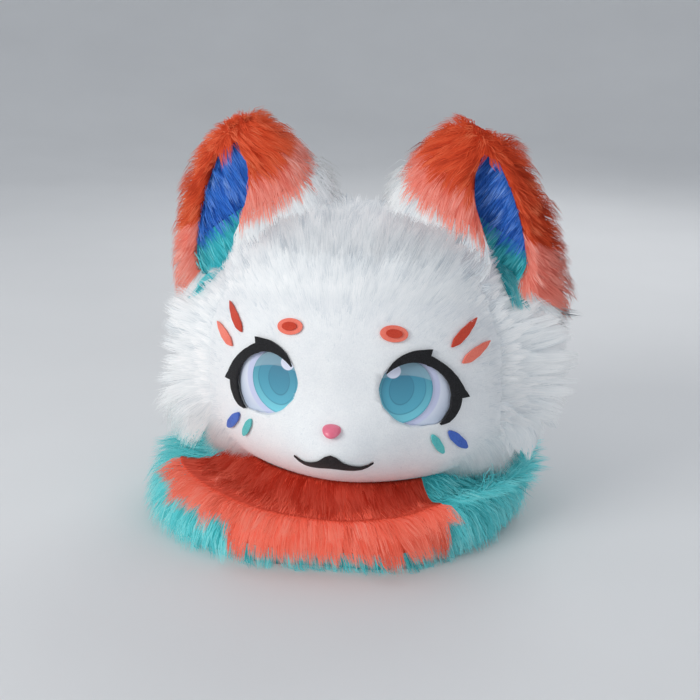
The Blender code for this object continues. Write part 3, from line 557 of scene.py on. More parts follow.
def studio_card():
    """Seamless paper under the object: pale, matt, a faint mottling."""
    material = new_material("seamless_paper")
    place = add(material, "ShaderNodeTexCoord").outputs["Object"]
    clouds = add(material, "ShaderNodeTexNoise", None, {"Vector": place, "Scale": 3.0})
    return finish_pattern(material, clouds.outputs["Fac"], ("#d9dadb", "#e2e3e4"), None, {"Roughness": 0.9})


# Fur colours: deep, root, tip, pale. Each root is darker than its tip as painted shade among the hairs; deep
# serves dark locks chosen by chance and the painted shade that callers add
FUR = {
    "white": faux_fur("acrylic_fur_white", "#bcc5cd", "#e4e9ec", "#f5f7f8", "#ffffff"),
    "coral": faux_fur("acrylic_fur_coral", "#e0604f", "#f07b6a", "#ff9c8c", "#ffc4b8"),
    "bib": faux_fur("acrylic_fur_deep_coral", "#b02713", "#fb5a40", "#fd836c", "#ffb8a8"),
    "red": faux_fur("acrylic_fur_red", "#8f1f0e", "#c83d20", "#e95a33", "#f58a62"),
    "blue": faux_fur("acrylic_fur_blue", "#18429a", "#2b69d4", "#4691f5", "#9dc0f8"),
    "teal": faux_fur("acrylic_fur_teal", "#219aa8", "#3fcbd9", "#6ae8f0", "#b9f4f5"),
    "hem": faux_fur("acrylic_fur_sea_teal", "#2a9ba4", "#42c8cf", "#78e9ee", "#bcf6f5"),
    "fuzz": faux_fur("clipped_fuzz_white", "#d3dae0", "#e6eaed", "#f1f3f5", "#ffffff"),
}
BACKING = {
    "white": fur_backing("fur_backing_white", "#d7dde2", "#eef1f3"),
    "coral": fur_backing("fur_backing_coral", "#e4695a", "#f88d7c"),
    "bib": fur_backing("fur_backing_deep_coral", "#c93a24", "#ef624c"),
    "red": fur_backing("fur_backing_red", "#a82e16", "#d44a29"),
    "blue": fur_backing("fur_backing_blue", "#2453ad", "#3c78da"),
    "teal": fur_backing("fur_backing_teal", "#2ba5b2", "#4fcdd8"),
    "hem": fur_backing("fur_backing_sea_teal", "#2f9da4", "#50c4ca"),
}
PATCH = {
    "coral": short_pile("clipped_pile_coral", "#ee6f5c", "#fb8a77"),
    "red": short_pile("clipped_pile_red", "#bd3420", "#d44a33"),
    "blue": short_pile("clipped_pile_blue", "#345ab4", "#4770cc"),
    "teal": short_pile("clipped_pile_teal", "#4db9ba", "#6bd0cf"),
}
FACE_PILE = short_pile("clipped_pile_white", "#e8ebee", "#f4f6f7", 700.0, 0.0006)
FUR_SLOT = {
    "white": "long_white_fur", "coral": "coral_fur", "bib": "coral_fur", "red": "red_fur", "blue": "blue_fur",
    "teal": "teal_fur", "hem": "teal_fur", "fuzz": "short_white_pile",
}
WHITE_SLOTS = ("long_white_fur", "short_white_pile")


# Meshes from arrays

def new_piece(name, points, faces, materials, uv=None, values=None, face_material=None):
    """A mesh piece from points in millimetres and arrays of triangles and quads."""
    mesh = bpy.data.meshes.new(name)
    mesh.vertices.add(len(points))
    mesh.vertices.foreach_set("co", ((points + CENTRE_SHIFT) * MM).astype(np.float32).ravel())
    corners = np.concatenate([block.ravel() for block in faces]).astype(np.int32)
    sizes = np.concatenate([np.full(len(block), block.shape[1]) for block in faces])
    mesh.loops.add(len(corners))
    mesh.loops.foreach_set("vertex_index", corners)
    mesh.polygons.add(len(sizes))
    mesh.polygons.foreach_set("loop_start", np.concatenate([[0], np.cumsum(sizes)[:-1]]).astype(np.int32))
    mesh.update(calc_edges=True)
    mesh.polygons.foreach_set("use_smooth", np.ones(len(sizes), bool))
    if face_material is not None:
        mesh.polygons.foreach_set("material_index", face_material.astype(np.int32))
    if uv is not None:
        layer = mesh.uv_layers.new(name="OFBake")
        layer.data.foreach_set("uv", uv[corners].astype(np.float32).ravel())
    for key, value in (values or {}).items():
        if value.ndim == 1:
            mesh.attributes.new(key, "FLOAT", "POINT").data.foreach_set("value", value.astype(np.float32))
        else:
            layer = mesh.attributes.new(key, "FLOAT_VECTOR", "POINT")
            layer.data.foreach_set("vector", value.astype(np.float32).ravel())
    for material in materials:
        mesh.materials.append(material)
    piece = bpy.data.objects.new(name, mesh)
    bpy.context.scene.collection.objects.link(piece)
    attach(piece, "root")
    return piece


def weld(piece):
    """Closes seams and poles, and drops points that no face uses."""
    work = bmesh.new()
    work.from_mesh(piece.data)
    bmesh.ops.remove_doubles(work, verts=work.verts, dist=WELD_AT)
    bmesh.ops.delete(work, geom=[v for v in work.verts if not v.link_faces], context="VERTS")
    if work.calc_volume(signed=True) < 0:
        bmesh.ops.reverse_faces(work, faces=work.faces)
    work.to_mesh(piece.data)
    work.free()


def wall(name, outer, inner, kept, wrap, materials, inner_material=0, nap=None, dyes=None):
    """A closed wall between two grids of points over the kept cells.

    nap gives its streaks' coordinates, and dyes the number of the material for each cell.
    """
    rows, columns = outer.shape[:2]
    count = rows * columns
    index = np.arange(count).reshape(rows, columns)
    following = np.roll(index, -1, axis=1) if wrap else index[:, 1:]
    start = index if wrap else index[:, :-1]
    a, b = start[:-1], following[:-1]
    c, d = following[1:], start[1:]
    padded = np.pad(kept, ((1, 1), (1, 1)))
    if wrap:
        padded[1:-1, 0] = kept[:, -1]
        padded[1:-1, -1] = kept[:, 0]
    front = np.stack([a, b, c, d], -1)[kept]
    faces = [front, front[:, ::-1] + count]
    neighbours = (
        (a, b, padded[:-2, 1:-1]), (b, c, padded[1:-1, 2:]),
        (c, d, padded[2:, 1:-1]), (d, a, padded[1:-1, :-2]),
    )
    edge_dyes = []
    for begin, end, beside in neighbours:
        open_edge = kept & ~beside
        faces.append(np.stack([end, begin, begin + count, end + count], -1)[open_edge])
        edge_dyes.append(np.zeros(open_edge.sum()) if dyes is None else dyes[open_edge])
    turn, climb = np.meshgrid(np.linspace(0, 1, columns), np.linspace(0, 1, rows))
    outer_uv = np.stack([turn * 0.47 + 0.01, climb * 0.98 + 0.01], -1).reshape(-1, 2)
    uv = np.concatenate([outer_uv, outer_uv + np.array((0.5, 0.0))])
    sizes = [len(block) for block in faces]
    face_material = np.zeros(sum(sizes))
    face_material[sizes[0]:sizes[0] + sizes[1]] = inner_material
    if dyes is not None:
        face_material = np.concatenate([dyes[kept], dyes[kept], *edge_dyes])
    points = np.concatenate([outer.reshape(-1, 3), inner.reshape(-1, 3)])
    values = None if nap is None else {"nap": np.tile(nap.reshape(-1, 3), (2, 1))}
    piece = new_piece(name, points, faces, materials, uv, values, face_material)
    weld(piece)
    return piece


def cell_middles(grid):
    """Middles of the cells of a grid that closes round on itself."""
    return (grid[:-1] + np.roll(grid, -1, 1)[:-1] + grid[1:] + np.roll(grid, -1, 1)[1:]) / 4


def soften(grid, rounds, wrap):
    """Eases the corners of a grid along its rows and columns; the first and last rows stay."""
    grid = grid.copy()
    for _ in range(rounds):
        grid[1:-1] = grid[1:-1] * 0.5 + (grid[:-2] + grid[2:]) * 0.25
        if wrap:
            grid = grid * 0.5 + (np.roll(grid, 1, 1) + np.roll(grid, -1, 1)) * 0.25
        else:
            grid[:, 1:-1] = grid[:, 1:-1] * 0.5 + (grid[:, :-2] + grid[:, 2:]) * 0.25
    return grid


def grid_normals(grid, wrap, outward):
    """Normals at the points of a grid; outward gives the side they point to."""
    if wrap:
        across = np.roll(grid, -1, 1) - np.roll(grid, 1, 1)
    else:
        across = np.gradient(grid, axis=1)
    normals = unit(np.cross(across, np.gradient(grid, axis=0)))
    return np.where(dot(normals, outward) < 0, -normals, normals)


def scatter(grid, normals, wrap, weight, count, rng):
    """Roots spread evenly over a grid, more where the weight is higher."""
    if wrap:
        grid = np.concatenate([grid, grid[:, :1]], axis=1)
        normals = np.concatenate([normals, normals[:, :1]], axis=1)
    a, b, c, d = grid[:-1, :-1], grid[:-1, 1:], grid[1:, 1:], grid[1:, :-1]
    area = np.linalg.norm(np.cross(c - a, d - b), axis=-1) / 2
    share = (area * weight).ravel()
    cell = rng.choice(share.size, count, p=share / share.sum())
    row, column = np.divmod(cell, area.shape[1])
    up = rng.random(count)
    along = rng.random(count)

    def between(values):
        low = values[row, column] * (1 - along)[:, None] + values[row, column + 1] * along[:, None]
        high = values[row + 1, column] * (1 - along)[:, None] + values[row + 1, column + 1] * along[:, None]
        return low * (1 - up)[:, None] + high * up[:, None]

    return between(grid), unit(between(normals)), row + up, column + along


def nearest(leads, points):
    tree = KDTree(len(leads))
    for number, place in enumerate(leads):
        tree.insert(place, number)
    tree.balance()
    return np.array([tree.find(place)[1] for place in points])


def groom(roots, normals, lie, length, lift, style, rng):
    """Middles and tips of the hairs, gathered into small locks and those into larger ones.

    The largest locks differ in length and lift by the style's tuft, so an outline of fur is jagged.
    """
    count = len(roots)
    spread = roots.max(0) - roots.min(0)
    area = max(1.0, spread[0] * spread[1] + spread[1] * spread[2] + spread[0] * spread[2])
    groups = []
    for lock in style.locks:
        leads = rng.choice(count, min(count, max(6, int(area / lock.size ** 2))), replace=False)
        groups.append(leads[nearest(roots[leads], roots)])
    tuft = style.tuft * rng.normal(size=(count, 2)).clip(-1.6, 1.6)[groups[-1]]
    turn = np.radians(style.stray) * rng.normal(size=(count, 1))
    lie = lie * np.cos(turn) + np.cross(normals, lie) * np.sin(turn)
    length = (length * (1 + tuft[:, 0] + style.vary * (rng.random(count) - 0.6)))[:, None]
    lift = np.radians(lift * (1 + tuft[:, 1]))[:, None] * (1 + 0.25 * rng.normal(size=(count, 1)))
    tips = roots + (lie * np.cos(lift) + normals * np.sin(lift)) * length
    tips[:, 2] -= style.droop * length[:, 0]
    rise = lift * 1.5 + 0.1     # a hair rises more steeply in its first half
    middles = roots + (lie * np.cos(rise) + normals * np.sin(rise)) * length * 0.5
    tone = 0.5 * rng.normal(size=count)
    for lock, mine in zip(style.locks, groups):
        tips = tips + (tips[mine] - tips) * lock.hold_tip
        middles = middles + (middles[mine] - middles) * lock.hold_middle
        tone = tone * 0.55 + tone[mine] * 0.65
    return middles, tips, tone


def strands(name, roots, normals, lie, length, lift, style, dye, rng, floor=None, tint=0.0, contrast=1.0,
            shade=None):
    """Closed tapered hairs: bent ones of seven points lie over straight ones of four.

    Light goes through fine fibres, so they throw no hard shadow of their own, white ones don't dim the light
    that bounces about in them, and their shading leans towards the skin's own normals, or shade where given.
    """
    count = len(roots)
    shade = normals if shade is None else shade
    middles, tips, tone = groom(roots, normals, lie, length, lift, style, rng)
    # tint shifts the tone; callers use it for painted light and shade
    tone = tone * contrast + tint
    if floor is not None:
        tips[:, 2] = np.maximum(tips[:, 2], floor)
        middles[:, 2] = np.maximum(middles[:, 2], floor + 1.0)
    run = unit(tips - roots)
    flat = unit(np.cross(run, normals) + 1e-6)
    thin = np.cross(run, flat)
    width = style.width * (1 + 0.25 * rng.normal(size=(count, 1))).clip(0.5, 1.6)
    base = roots - normals * ROOT_SUNK
    rings = []
    ways = []
    for centre, share in ((base, ROOT_SHARE), (middles, MIDDLE_SHARE)):
        for k in range(3):
            angle = 2 * math.pi * k / 3
            offset = flat * math.cos(angle) + thin * (HAIR_FLATNESS * math.sin(angle))
            rings.append(centre + offset * width * share)
            ways.append(unit(shade * style.soft + offset * (1 - style.soft)))
    tip_way = unit(shade * style.soft + run * (1 - style.soft) * 0.5)
    bent = rng.random(count) < style.bent
    bents = int(bent.sum())

    def by_hair(parts, ends):
        """The hairs' points, hair by hair: the bent ones first, then the straight ones, without middles."""
        return np.concatenate([
            np.stack([part[mine] for part in own] + [ends[mine]], axis=1).reshape(-1, 3)
            for mine, own in ((bent, parts), (~bent, parts[:3]))
        ])

    first = (np.arange(bents) * BENT_POINTS)[:, None]
    faces = [first + np.array((2, 1, 0))]
    faces += [first + np.array((k, (k + 1) % 3, 3 + (k + 1) % 3, 3 + k)) for k in range(3)]
    faces += [first + np.array((3 + k, 3 + (k + 1) % 3, 6)) for k in range(3)]
    first = (np.arange(count - bents) * STRAIGHT_POINTS)[:, None] + BENT_POINTS * bents
    faces += [first + np.array(corner) for corner in ((2, 1, 0), (0, 1, 3), (1, 2, 3), (2, 0, 3))]
    across = math.ceil(math.sqrt(count))
    cell = np.stack(np.divmod(np.arange(count), across), -1)[:, ::-1]
    uv = np.concatenate([
        (cell[:bents, None, :] + np.array(BENT_CELL)[None]).reshape(-1, 2),
        (cell[bents:, None, :] + np.array(STRAIGHT_CELL)[None]).reshape(-1, 2),
    ]) / across
    along = np.concatenate([
        np.tile((0.0, 0.0, 0.0, 0.5, 0.5, 0.5, 1.0), bents), np.tile((0.0, 0.0, 0.0, 1.0), count - bents),
    ])
    tones = np.concatenate([np.repeat(tone[bent], BENT_POINTS), np.repeat(tone[~bent], STRAIGHT_POINTS)])
    piece = new_piece(name, by_hair(rings, tips), faces, [FUR[dye]], uv,
                      {"along": along, "tone": tones})
    piece.data.normals_split_custom_set_from_vertices(by_hair(ways, tip_way))
    piece.visible_shadow = False
    piece.visible_diffuse = FUR_SLOT[dye] not in WHITE_SLOTS


# Head surfaces

def head_share(z):
    z = np.asarray(z, float)
    off = np.abs(z - HEAD_MIDDLE_Z)
    above = np.clip(1 - (off / HEAD_RISE) ** RISE_POWER, 0, None) ** (1 / RISE_POWER)
    below = np.clip(1 - (off / HEAD_DROP) ** DROP_POWER, 0, None) ** (1 / DROP_POWER)
    return np.where(z >= HEAD_MIDDLE_Z, above, below)


def muzzle(x, z):
    return MUZZLE_OUT * np.exp(-(x / MUZZLE_HALF_WIDTH) ** 2 - ((z - MUZZLE_Z) / MUZZLE_HALF_HEIGHT) ** 2)


def head_points(azimuth, z):
    turn = np.radians(azimuth)
    share = head_share(z)
    x = HEAD_HALF_WIDTH * share * np.sin(turn)
    y = -HEAD_HALF_DEPTH * share * np.cos(turn) - np.where(np.cos(turn) > 0, muzzle(x, z), 0.0)
    return np.stack([x, y, z], -1)


def face_y(x, z):
    share = head_share(z)
    flat = np.sqrt(np.clip(share ** 2 - (x / HEAD_HALF_WIDTH) ** 2, 0, None))
    return -HEAD_HALF_DEPTH * flat - muzzle(x, z)


def face_normals(x, z):
    step = 0.5
    slope_x = (face_y(x + step, z) - face_y(x - step, z)) / (2 * step)
    slope_z = (face_y(x, z + step) - face_y(x, z - step)) / (2 * step)
    return unit(np.stack([slope_x, -np.ones_like(x), slope_z], -1))


def latitude_of(z):
    reach = np.where(z >= HEAD_MIDDLE_Z, HEAD_RISE, HEAD_DROP)
    return np.degrees(np.arcsin(np.clip((z - HEAD_MIDDLE_Z) / reach, -1, 1)))


def height_at(latitude):
    reach = np.where(latitude >= 0, HEAD_RISE, HEAD_DROP)
    return HEAD_MIDDLE_Z + reach * np.sin(np.radians(latitude))


def hairline_z(azimuth):
    return from_table(HAIRLINE, np.abs(wrap_degrees(azimuth)))[..., 0]


def nap_at(points, normals):
    """Lie of the fur: away from the middle of the face, hanging down at the sides and back."""
    flow = unit(points - NAP_CENTRE)
    hang = ramp(points[..., 1:2], -60.0, 100.0)
    flow = flow - 1.3 * hang * UP
    return unit(flow - normals * dot(flow, normals))


def nap_streaks(points):
    """Streak coordinates round the middle of the face: one unit is 2 mm across a streak, 20 mm along it."""
    away = points - NAP_CENTRE
    around = unit(away[..., [0, 2]])
    reach = np.linalg.norm(away, axis=-1)
    return np.concatenate([around * 75.0, (reach * 0.05)[..., None]], -1)


def hanging(roots, out, lie, lift, share, flare=0.6):
    """Turns hairs by a share from their lie on the skin to hang outwards and down, clear of the form."""
    away = unit(roots * np.array((1.0, 1.0, 0.0)))
    wanted = unit(away * np.broadcast_to(flare, share.shape)[:, None] - UP)
    rise = dot(out, wanted)
    hung = unit(wanted - out * rise)
    steep = np.degrees(np.arcsin(rise.clip(-1, 1)))[:, 0]
    return unit(lie + (hung - lie) * share[:, None]), lift + (steep - lift) * share


def eye_radius(angle):
    return from_table(EYE_OUTLINE, (np.asarray(angle) + 90.0) % 360.0 - 90.0)[..., 0]


def from_eye(x, z):
    """Angle and distance of a place on the face from its eye's middle."""
    offset_x = np.abs(x) - EYE_MIDDLE[0]
    offset_z = z - EYE_MIDDLE[1]
    return np.degrees(np.arctan2(offset_z, offset_x)), np.hypot(offset_x, offset_z)


def in_eye(x, z):
    """Whether a place lies in the eye's opening or within a millimetre of it."""
    angle, reach = from_eye(x, z)
    return reach < eye_radius(angle) + 1.0


# Head

def build_head():
    """The padded shell with its two eye openings; gives back the grid of its outer surface."""
    azimuths = np.linspace(0, 360, SHELL_COLUMNS, endpoint=False)[None, :]
    latitudes = np.linspace(latitude_of(np.array(RIM_Z)), 90.0, SHELL_ROWS)[:, None]
    z = np.broadcast_to(height_at(latitudes), (SHELL_ROWS, SHELL_COLUMNS))
    azimuths = np.broadcast_to(azimuths, z.shape)
    outer = head_points(azimuths, z)
    turn = np.radians(azimuths)
    share = head_share(z)
    drop = np.where(z > HEAD_MIDDLE_Z, (HEAD_RISE - SHELL_WALL) / HEAD_RISE, 1.0)
    inner = np.stack([
        (HEAD_HALF_WIDTH - SHELL_WALL) * share * np.sin(turn),
        -(HEAD_HALF_DEPTH - SHELL_WALL) * share * np.cos(turn),
        HEAD_MIDDLE_Z + (z - HEAD_MIDDLE_Z) * drop,
    ], -1)
    kept = np.ones((SHELL_ROWS - 1, SHELL_COLUMNS), bool)
    shell = wall("head_form", outer, inner, kept, True, [FACE_PILE, lining_foam()],
                 inner_material=1)
    for _, sign in SIDES:
        cut_eye_opening(shell, sign)
    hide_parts("head_shell")
    return outer


def cut_eye_opening(shell, sign):
    """Cuts the eye's opening straight through the front wall."""
    bpy.ops.object.select_all(action="DESELECT")
    bpy.ops.mesh.primitive_cylinder_add(vertices=EYE_SIDES, radius=1.0, depth=1.0)
    cutter = bpy.context.object
    for vertex in cutter.data.vertices:
        angle = math.degrees(math.atan2(vertex.co.y, vertex.co.x))
        reach = float(eye_radius(angle))
        x = EYE_MIDDLE[0] + reach * math.cos(math.radians(angle))
        z = EYE_MIDDLE[1] + reach * math.sin(math.radians(angle))
        y = EYE_CUT_Y[0] if vertex.co.z > 0 else EYE_CUT_Y[1]
        vertex.co = Vector((sign * x + CENTRE_SHIFT[0], y + CENTRE_SHIFT[1], z)) * MM
    bpy.ops.object.mode_set(mode="EDIT")
    bpy.ops.mesh.select_all(action="SELECT")
    bpy.ops.mesh.normals_make_consistent(inside=False)
    bpy.ops.object.mode_set(mode="OBJECT")
    cutter.select_set(False)
    bpy.context.view_layer.objects.active = shell
    shell.select_set(True)
    cut = shell.modifiers.new("eye_opening", "BOOLEAN")
    cut.operation = "DIFFERENCE"
    cut.solver = "EXACT"
    cut.object = cutter
    bpy.ops.object.modifier_apply(modifier=cut.name)
    bpy.data.objects.remove(cutter, do_unlink=True)


def from_hairline(points):
    """Distance from the hairline round the face, in millimetres; it is below zero on the face."""
    flat = points.reshape(-1, 3)
    edge = head_points(HAIRLINE_SAMPLES, hairline_z(HAIRLINE_SAMPLES))
    gaps = np.concatenate([
        np.min(np.linalg.norm(part[:, None] - edge[None], axis=-1), axis=1)
        for part in np.array_split(flat, max(1, len(flat) // MEASURED_AT_ONCE))
    ])
    azimuths = azimuth_of(flat)
    face = (flat[:, 2] < hairline_z(azimuths)) & (np.abs(azimuths) < FACE_HALF_AZIMUTH)
    return np.where(face, -gaps, gaps).reshape(points.shape[:-1])


def build_face_fuzz(grid):
    """Short pile that is brushed away from the nose, longer towards the hairline."""
    normals = grid_normals(grid, True, grid - HEAD_MIDDLE)
    rng = np.random.default_rng(FACE_FUZZ_SEED)
    middle_z = (grid[:-1, :, 2] + grid[1:, :, 2]) / 2
    azimuths = np.abs(azimuth_of((grid[:-1] + np.roll(grid, -1, 1)[:-1]) / 2))
    weight = (middle_z < hairline_z(azimuths) + 5.0) * (azimuths < 75) * (1.0 + 0.8 * (middle_z > 205))
    weight = weight + 2.5 * jaw_fringe(azimuths, middle_z) * (azimuths < 100)
    roots, out, _, _ = scatter(grid, normals, True, weight, FACE_FUZZ_STRANDS, rng)
    bare = ~np.any([covers(roots[:, 0], roots[:, 2]) for covers in COVERS], axis=0)
    roots = roots[bare]
    out = out[bare]
    lie = nap_at(roots, out)
    near = ramp(from_hairline(roots), -48.0, 0.0)
    fringe = jaw_fringe(np.abs(azimuth_of(roots)), roots[:, 2])
    lie, lift = hanging(roots, out, lie, 9.0 + 2.0 * near, fringe)
    length = 3.6 + 8.4 * near + 11.0 * fringe + 9.0 * near ** 3 * rng.random(len(roots))
    strands("face_fuzz", roots, out, lie, length, lift, FUZZ, "fuzz", rng)


def jaw_fringe(azimuth, z):
    """1 low on the sides of the jaw, where the face's pile grows towards the cheeks' fur, 0 on the face."""
    return ramp(azimuth, 41.0, 57.0) * ramp(z, 118.0, 88.0)


def in_stroke(stroke, margin=0.6):
    """A test for places that a stroke covers."""
    start = np.array((stroke.from_x, stroke.from_z))
    end = np.array((stroke.to_x, stroke.to_z))
    reach = np.linalg.norm(end - start)
    run = (end - start) / reach

    def covers(x, z):
        offset = np.stack([np.abs(x), z], -1) - start
        along = offset @ run
        across = np.abs(offset @ np.array((-run[1], run[0])))
        width = np.interp(along / reach, np.linspace(0, 1, len(stroke.widths)), stroke.widths)
        return (along > -margin) & (along < reach + margin) & (across < width / 2 + margin)

    return covers


def in_oval(across, up, half):
    """Whether a place lies in an oval or within half a millimetre of it."""
    return (across / (half[0] + 0.5)) ** 2 + (up / (half[1] + 0.5)) ** 2 < 1


def in_brow(x, z):
    turn = math.radians(-BROW_TILT)
    across = (np.abs(x) - BROW_MIDDLE[0]) * math.cos(turn) + (z - BROW_MIDDLE[1]) * math.sin(turn)
    up = -(np.abs(x) - BROW_MIDDLE[0]) * math.sin(turn) + (z - BROW_MIDDLE[1]) * math.cos(turn)
    return in_oval(across, up, BROW_HALF)


def mouth_edges(x):
    """Heights of the mouth's lower and upper edges."""
    places = [section.x for section in MOUTH]
    low = np.interp(x, places, [section.low for section in MOUTH])
    return low, np.interp(x, places, [section.high for section in MOUTH])


def in_mouth(x, z):
    low, high = mouth_edges(x)
    return (np.abs(x) < MOUTH[-1].x) & (z > low - 0.5) & (z < high + 1.0)


def in_lash(x, z):
    angle, reach = from_eye(x, z)
    rising = LASH[::-1]
    outer = np.interp(angle, [point.angle for point in rising], [point.outer for point in rising])
    return (angle > LASH[-1].angle) & (angle < LASH[0].angle) & (reach < outer)


def in_nose(x, z):
    return in_oval(x - NOSE_MIDDLE[0], z - NOSE_MIDDLE[1], NOSE_HALF)


COVERS = [in_stroke(stroke) for stroke in STROKES] + [in_eye, in_brow, in_mouth, in_lash, in_nose]


def coat_depth(azimuth, z):
    """Depth of the long coat; it is fullest on the cheeks."""
    values = from_table(COAT, np.abs(wrap_degrees(azimuth)))
    spread = np.where(z > CHEEK_Z, CHEEK_SPREAD_UP, CHEEK_SPREAD_DOWN)
    return values[..., 0] + values[..., 1] * hump(z, CHEEK_Z, spread)


def coat_relief(points, grown):
    """Low tufts in the coat, millimetres high, drawn out along the nap."""
    streaks = nap_streaks(points).reshape(-1, 3)
    heights = sum(
        np.array([noise.noise(Vector(place)) for place in streaks * tufts.streaks]) * tufts.height
        for tufts in COAT_TUFTS
    )
    return heights.reshape(points.shape[:-1]) * grown


def build_coat():
    """The long coat's backing from the hairline to the crown; gives back the grid of its outer surface."""
    azimuths = np.broadcast_to(np.linspace(0, 360, COAT_COLUMNS, endpoint=False), (COAT_ROWS, COAT_COLUMNS))
    edge = latitude_of(hairline_z(azimuths))
    climb = np.linspace(0, 1, COAT_ROWS)[:, None]
    latitudes = edge + (90.0 - edge) * climb
    z = height_at(latitudes)
    base = head_points(azimuths, z)
    normals = grid_normals(base, True, base - HEAD_MIDDLE)
    normals[-1] = UP
    inward = from_hairline(base)
    grown = ramp(inward, 0.0, COAT_RISE_OVER)
    depth = (coat_depth(azimuths, z) * COAT_BACKING_SHARE + side_fullness(azimuths, z)) * grown
    depth = depth * (1 - 0.8 * under_slit(base)) + 1.6 * np.clip(inward / 12.0, 0, 1) - 1.0
    inner = base - normals * COAT_EDGE_SUNK
    outer = base + normals * (depth + coat_relief(base, grown))[..., None]
    kept = np.ones((COAT_ROWS - 1, COAT_COLUMNS), bool)
    coat = wall("coat_backing", outer, inner, kept, True, [BACKING["white"]],
                nap=nap_streaks(base))
    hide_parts("head_fur")
    return outer


def side_fullness(azimuth, z):
    """The coat is fuller under the ears' outer ends than the solid is."""
    return 9.0 * hump(np.abs(wrap_degrees(azimuth)), 92.0, 26.0) * hump(z, 190.0, 36.0)


def under_slit(points):
    """1 on the coat just in front of an ear's slit, where the fur lies low, 0 away from it."""
    across = np.abs(points[..., 0]) - SLIT_FOOT[0]
    up = points[..., 2] - SLIT_FOOT[1]
    return np.exp(-(across / 26.0) ** 2 - (up / 24.0) ** 2) * (points[..., 1] < 10.0)


def build_coat_fur(grid):
    """Long fur over crown, cheeks and nape: short at the hairline, full on the cheeks, hanging at the jaw."""
    normals = grid_normals(grid, True, grid - HEAD_MIDDLE)
    normals[-1] = UP
    middles = cell_middles(grid)
    azimuths = azimuth_of(middles)
    dense = 1.0 + 1.2 * hump(from_hairline(middles), 0.0, 22.0)
    left_cheek = (azimuths >= COAT_CROWN_TO) & (azimuths < COAT_NAPE_FROM)
    right_cheek = (azimuths <= -COAT_CROWN_TO) & (azimuths > -COAT_NAPE_FROM)
    parts = (
        ("crown_fur", np.abs(azimuths) < COAT_CROWN_TO, 15000, 21, SILKY, 0.8),
        ("cheek_fur_left", left_cheek, 17000, 22, SPIKY, 1.1),
        ("cheek_fur_right", right_cheek, 17000, 23, BRUSHED, 1.1),
        ("nape_fur", np.abs(azimuths) >= COAT_NAPE_FROM, 8500, 24, SPIKY, 1.1),
    )
    for name, where, count, seed, style, contrast in parts:
        rng = np.random.default_rng(seed)
        weight = where * dense * (1 - 0.95 * in_tuft(middles))
        roots, out, _, _ = scatter(grid, normals, True, weight, count, rng)
        azimuth = azimuth_of(roots)
        aside = np.abs(azimuth)
        z = roots[:, 2]
        inward = ramp(from_hairline(roots), 0.0, 50.0 - 38.0 * ramp(z, 150.0, 110.0))
        crown = ramp(z, 225.0, 265.0)
        side = ramp(aside, 45.0, 75.0) * (1 - crown)
        top = ramp(z, 262.0, 282.0)
        ridge = ramp(z, 264.0, 280.0)[:, None]
        hang = ramp(aside, 40.0, 60.0) * ramp(z, 140.0, 100.0)
        fringe = ramp(aside, 45.0, 60.0) * ramp(z, 118.0, 96.0)
        jaw = hump(aside, 56.0, 13.0) * ramp(z, 125.0, 95.0)
        trim = ramp(azimuth, 48.0, 64.0) * ramp(z, 152.0, 107.0)
        low_cheek = np.exp(-((aside - 76.0) / 24.0) ** 2 - ((z - 105.0) / 34.0) ** 2)
        full = from_table(COAT, aside)[:, 2] * (1 - 0.2 * crown)
        length = 12.0 + (full - 12.0 + 12.0 * low_cheek * (1 - trim)) * inward
        length = length * (1 - 0.55 * under_slit(roots)) + 9.0 * (1 - inward) ** 2 * rng.random(len(roots))
        length = length - 12.0 * fringe - 11.0 * ramp(aside, 95.0, 125.0) - 15.0 * trim - 11.0 * jaw
        length = length + 8.0 * hang
        lie = nap_at(roots, out) - 0.9 * hang[:, None] * UP
        lie = unit(lie - out * dot(lie, out))
        lift = (9.0 + (3.0 + 14.0 * side + 12.0 * top) * inward) * (1 - 0.6 * trim)
        lie, lift = hanging(roots, out, lie, lift, 0.85 * fringe, 0.6 - 0.55 * trim)
        out = unit(out + 1.1 * top[:, None] * UP)
        lit_side = (side * (azimuth > 0))[:, None] * np.array((-0.5, -0.4, 0.6))
        # the tint is painted light and shade on the white fur: painted light near the hairline and on the
        # cheeks, painted shade on the crown
        strands(name, roots, out, lie, length, lift, style, "white", rng, contrast=contrast,
                tint=0.35 * (1 - inward) + 0.3 * side - 0.2 * crown,
                shade=unit(out + lit_side + 2.2 * ridge * UP))


def in_tuft(points):
    """1 on the coat below an ear's slit, where the lining's last hairs lie over it, 0 away from there."""
    share = np.zeros(points.shape[:-1])
    for tuft in TUFTS.values():
        run = tuft.end - tuft.start
        along = ((points - tuft.start) @ run / (run @ run)).clip(0, 1)
        gap = np.linalg.norm(points - tuft.start - along[..., None] * run, axis=-1)
        share = np.maximum(share, ease(1.6 - gap / tuft.half_width))
    return share


def build_tufts(grid):
    """The lining's lowest hairs, which spill out of the slit over the coat."""
    normals = grid_normals(grid, True, grid - HEAD_MIDDLE)
    middles = cell_middles(grid)
    for side, sign in SIDES:
        rng = np.random.default_rng(TUFT_SEED + sign)
        weight = in_tuft(middles) * (sign * middles[..., 0] > 0)
        roots, out, _, _ = scatter(grid, normals, True, weight, TUFT_STRANDS, rng)
        tuft = TUFTS[side]
        run = unit(tuft.end - tuft.start)
        place = ((roots - tuft.start) @ run) / np.linalg.norm(tuft.end - tuft.start)
        lie = unit(run - out * dot(out, run))
        length = 28.0 - 6.0 * place.clip(0, 1)
        lift = np.full(len(roots), 9.0)
        strands(f"ear_lining_tuft_{side}", roots + out * 5.0, out, lie, length, lift, SPILLED, "teal", rng)


# Ears

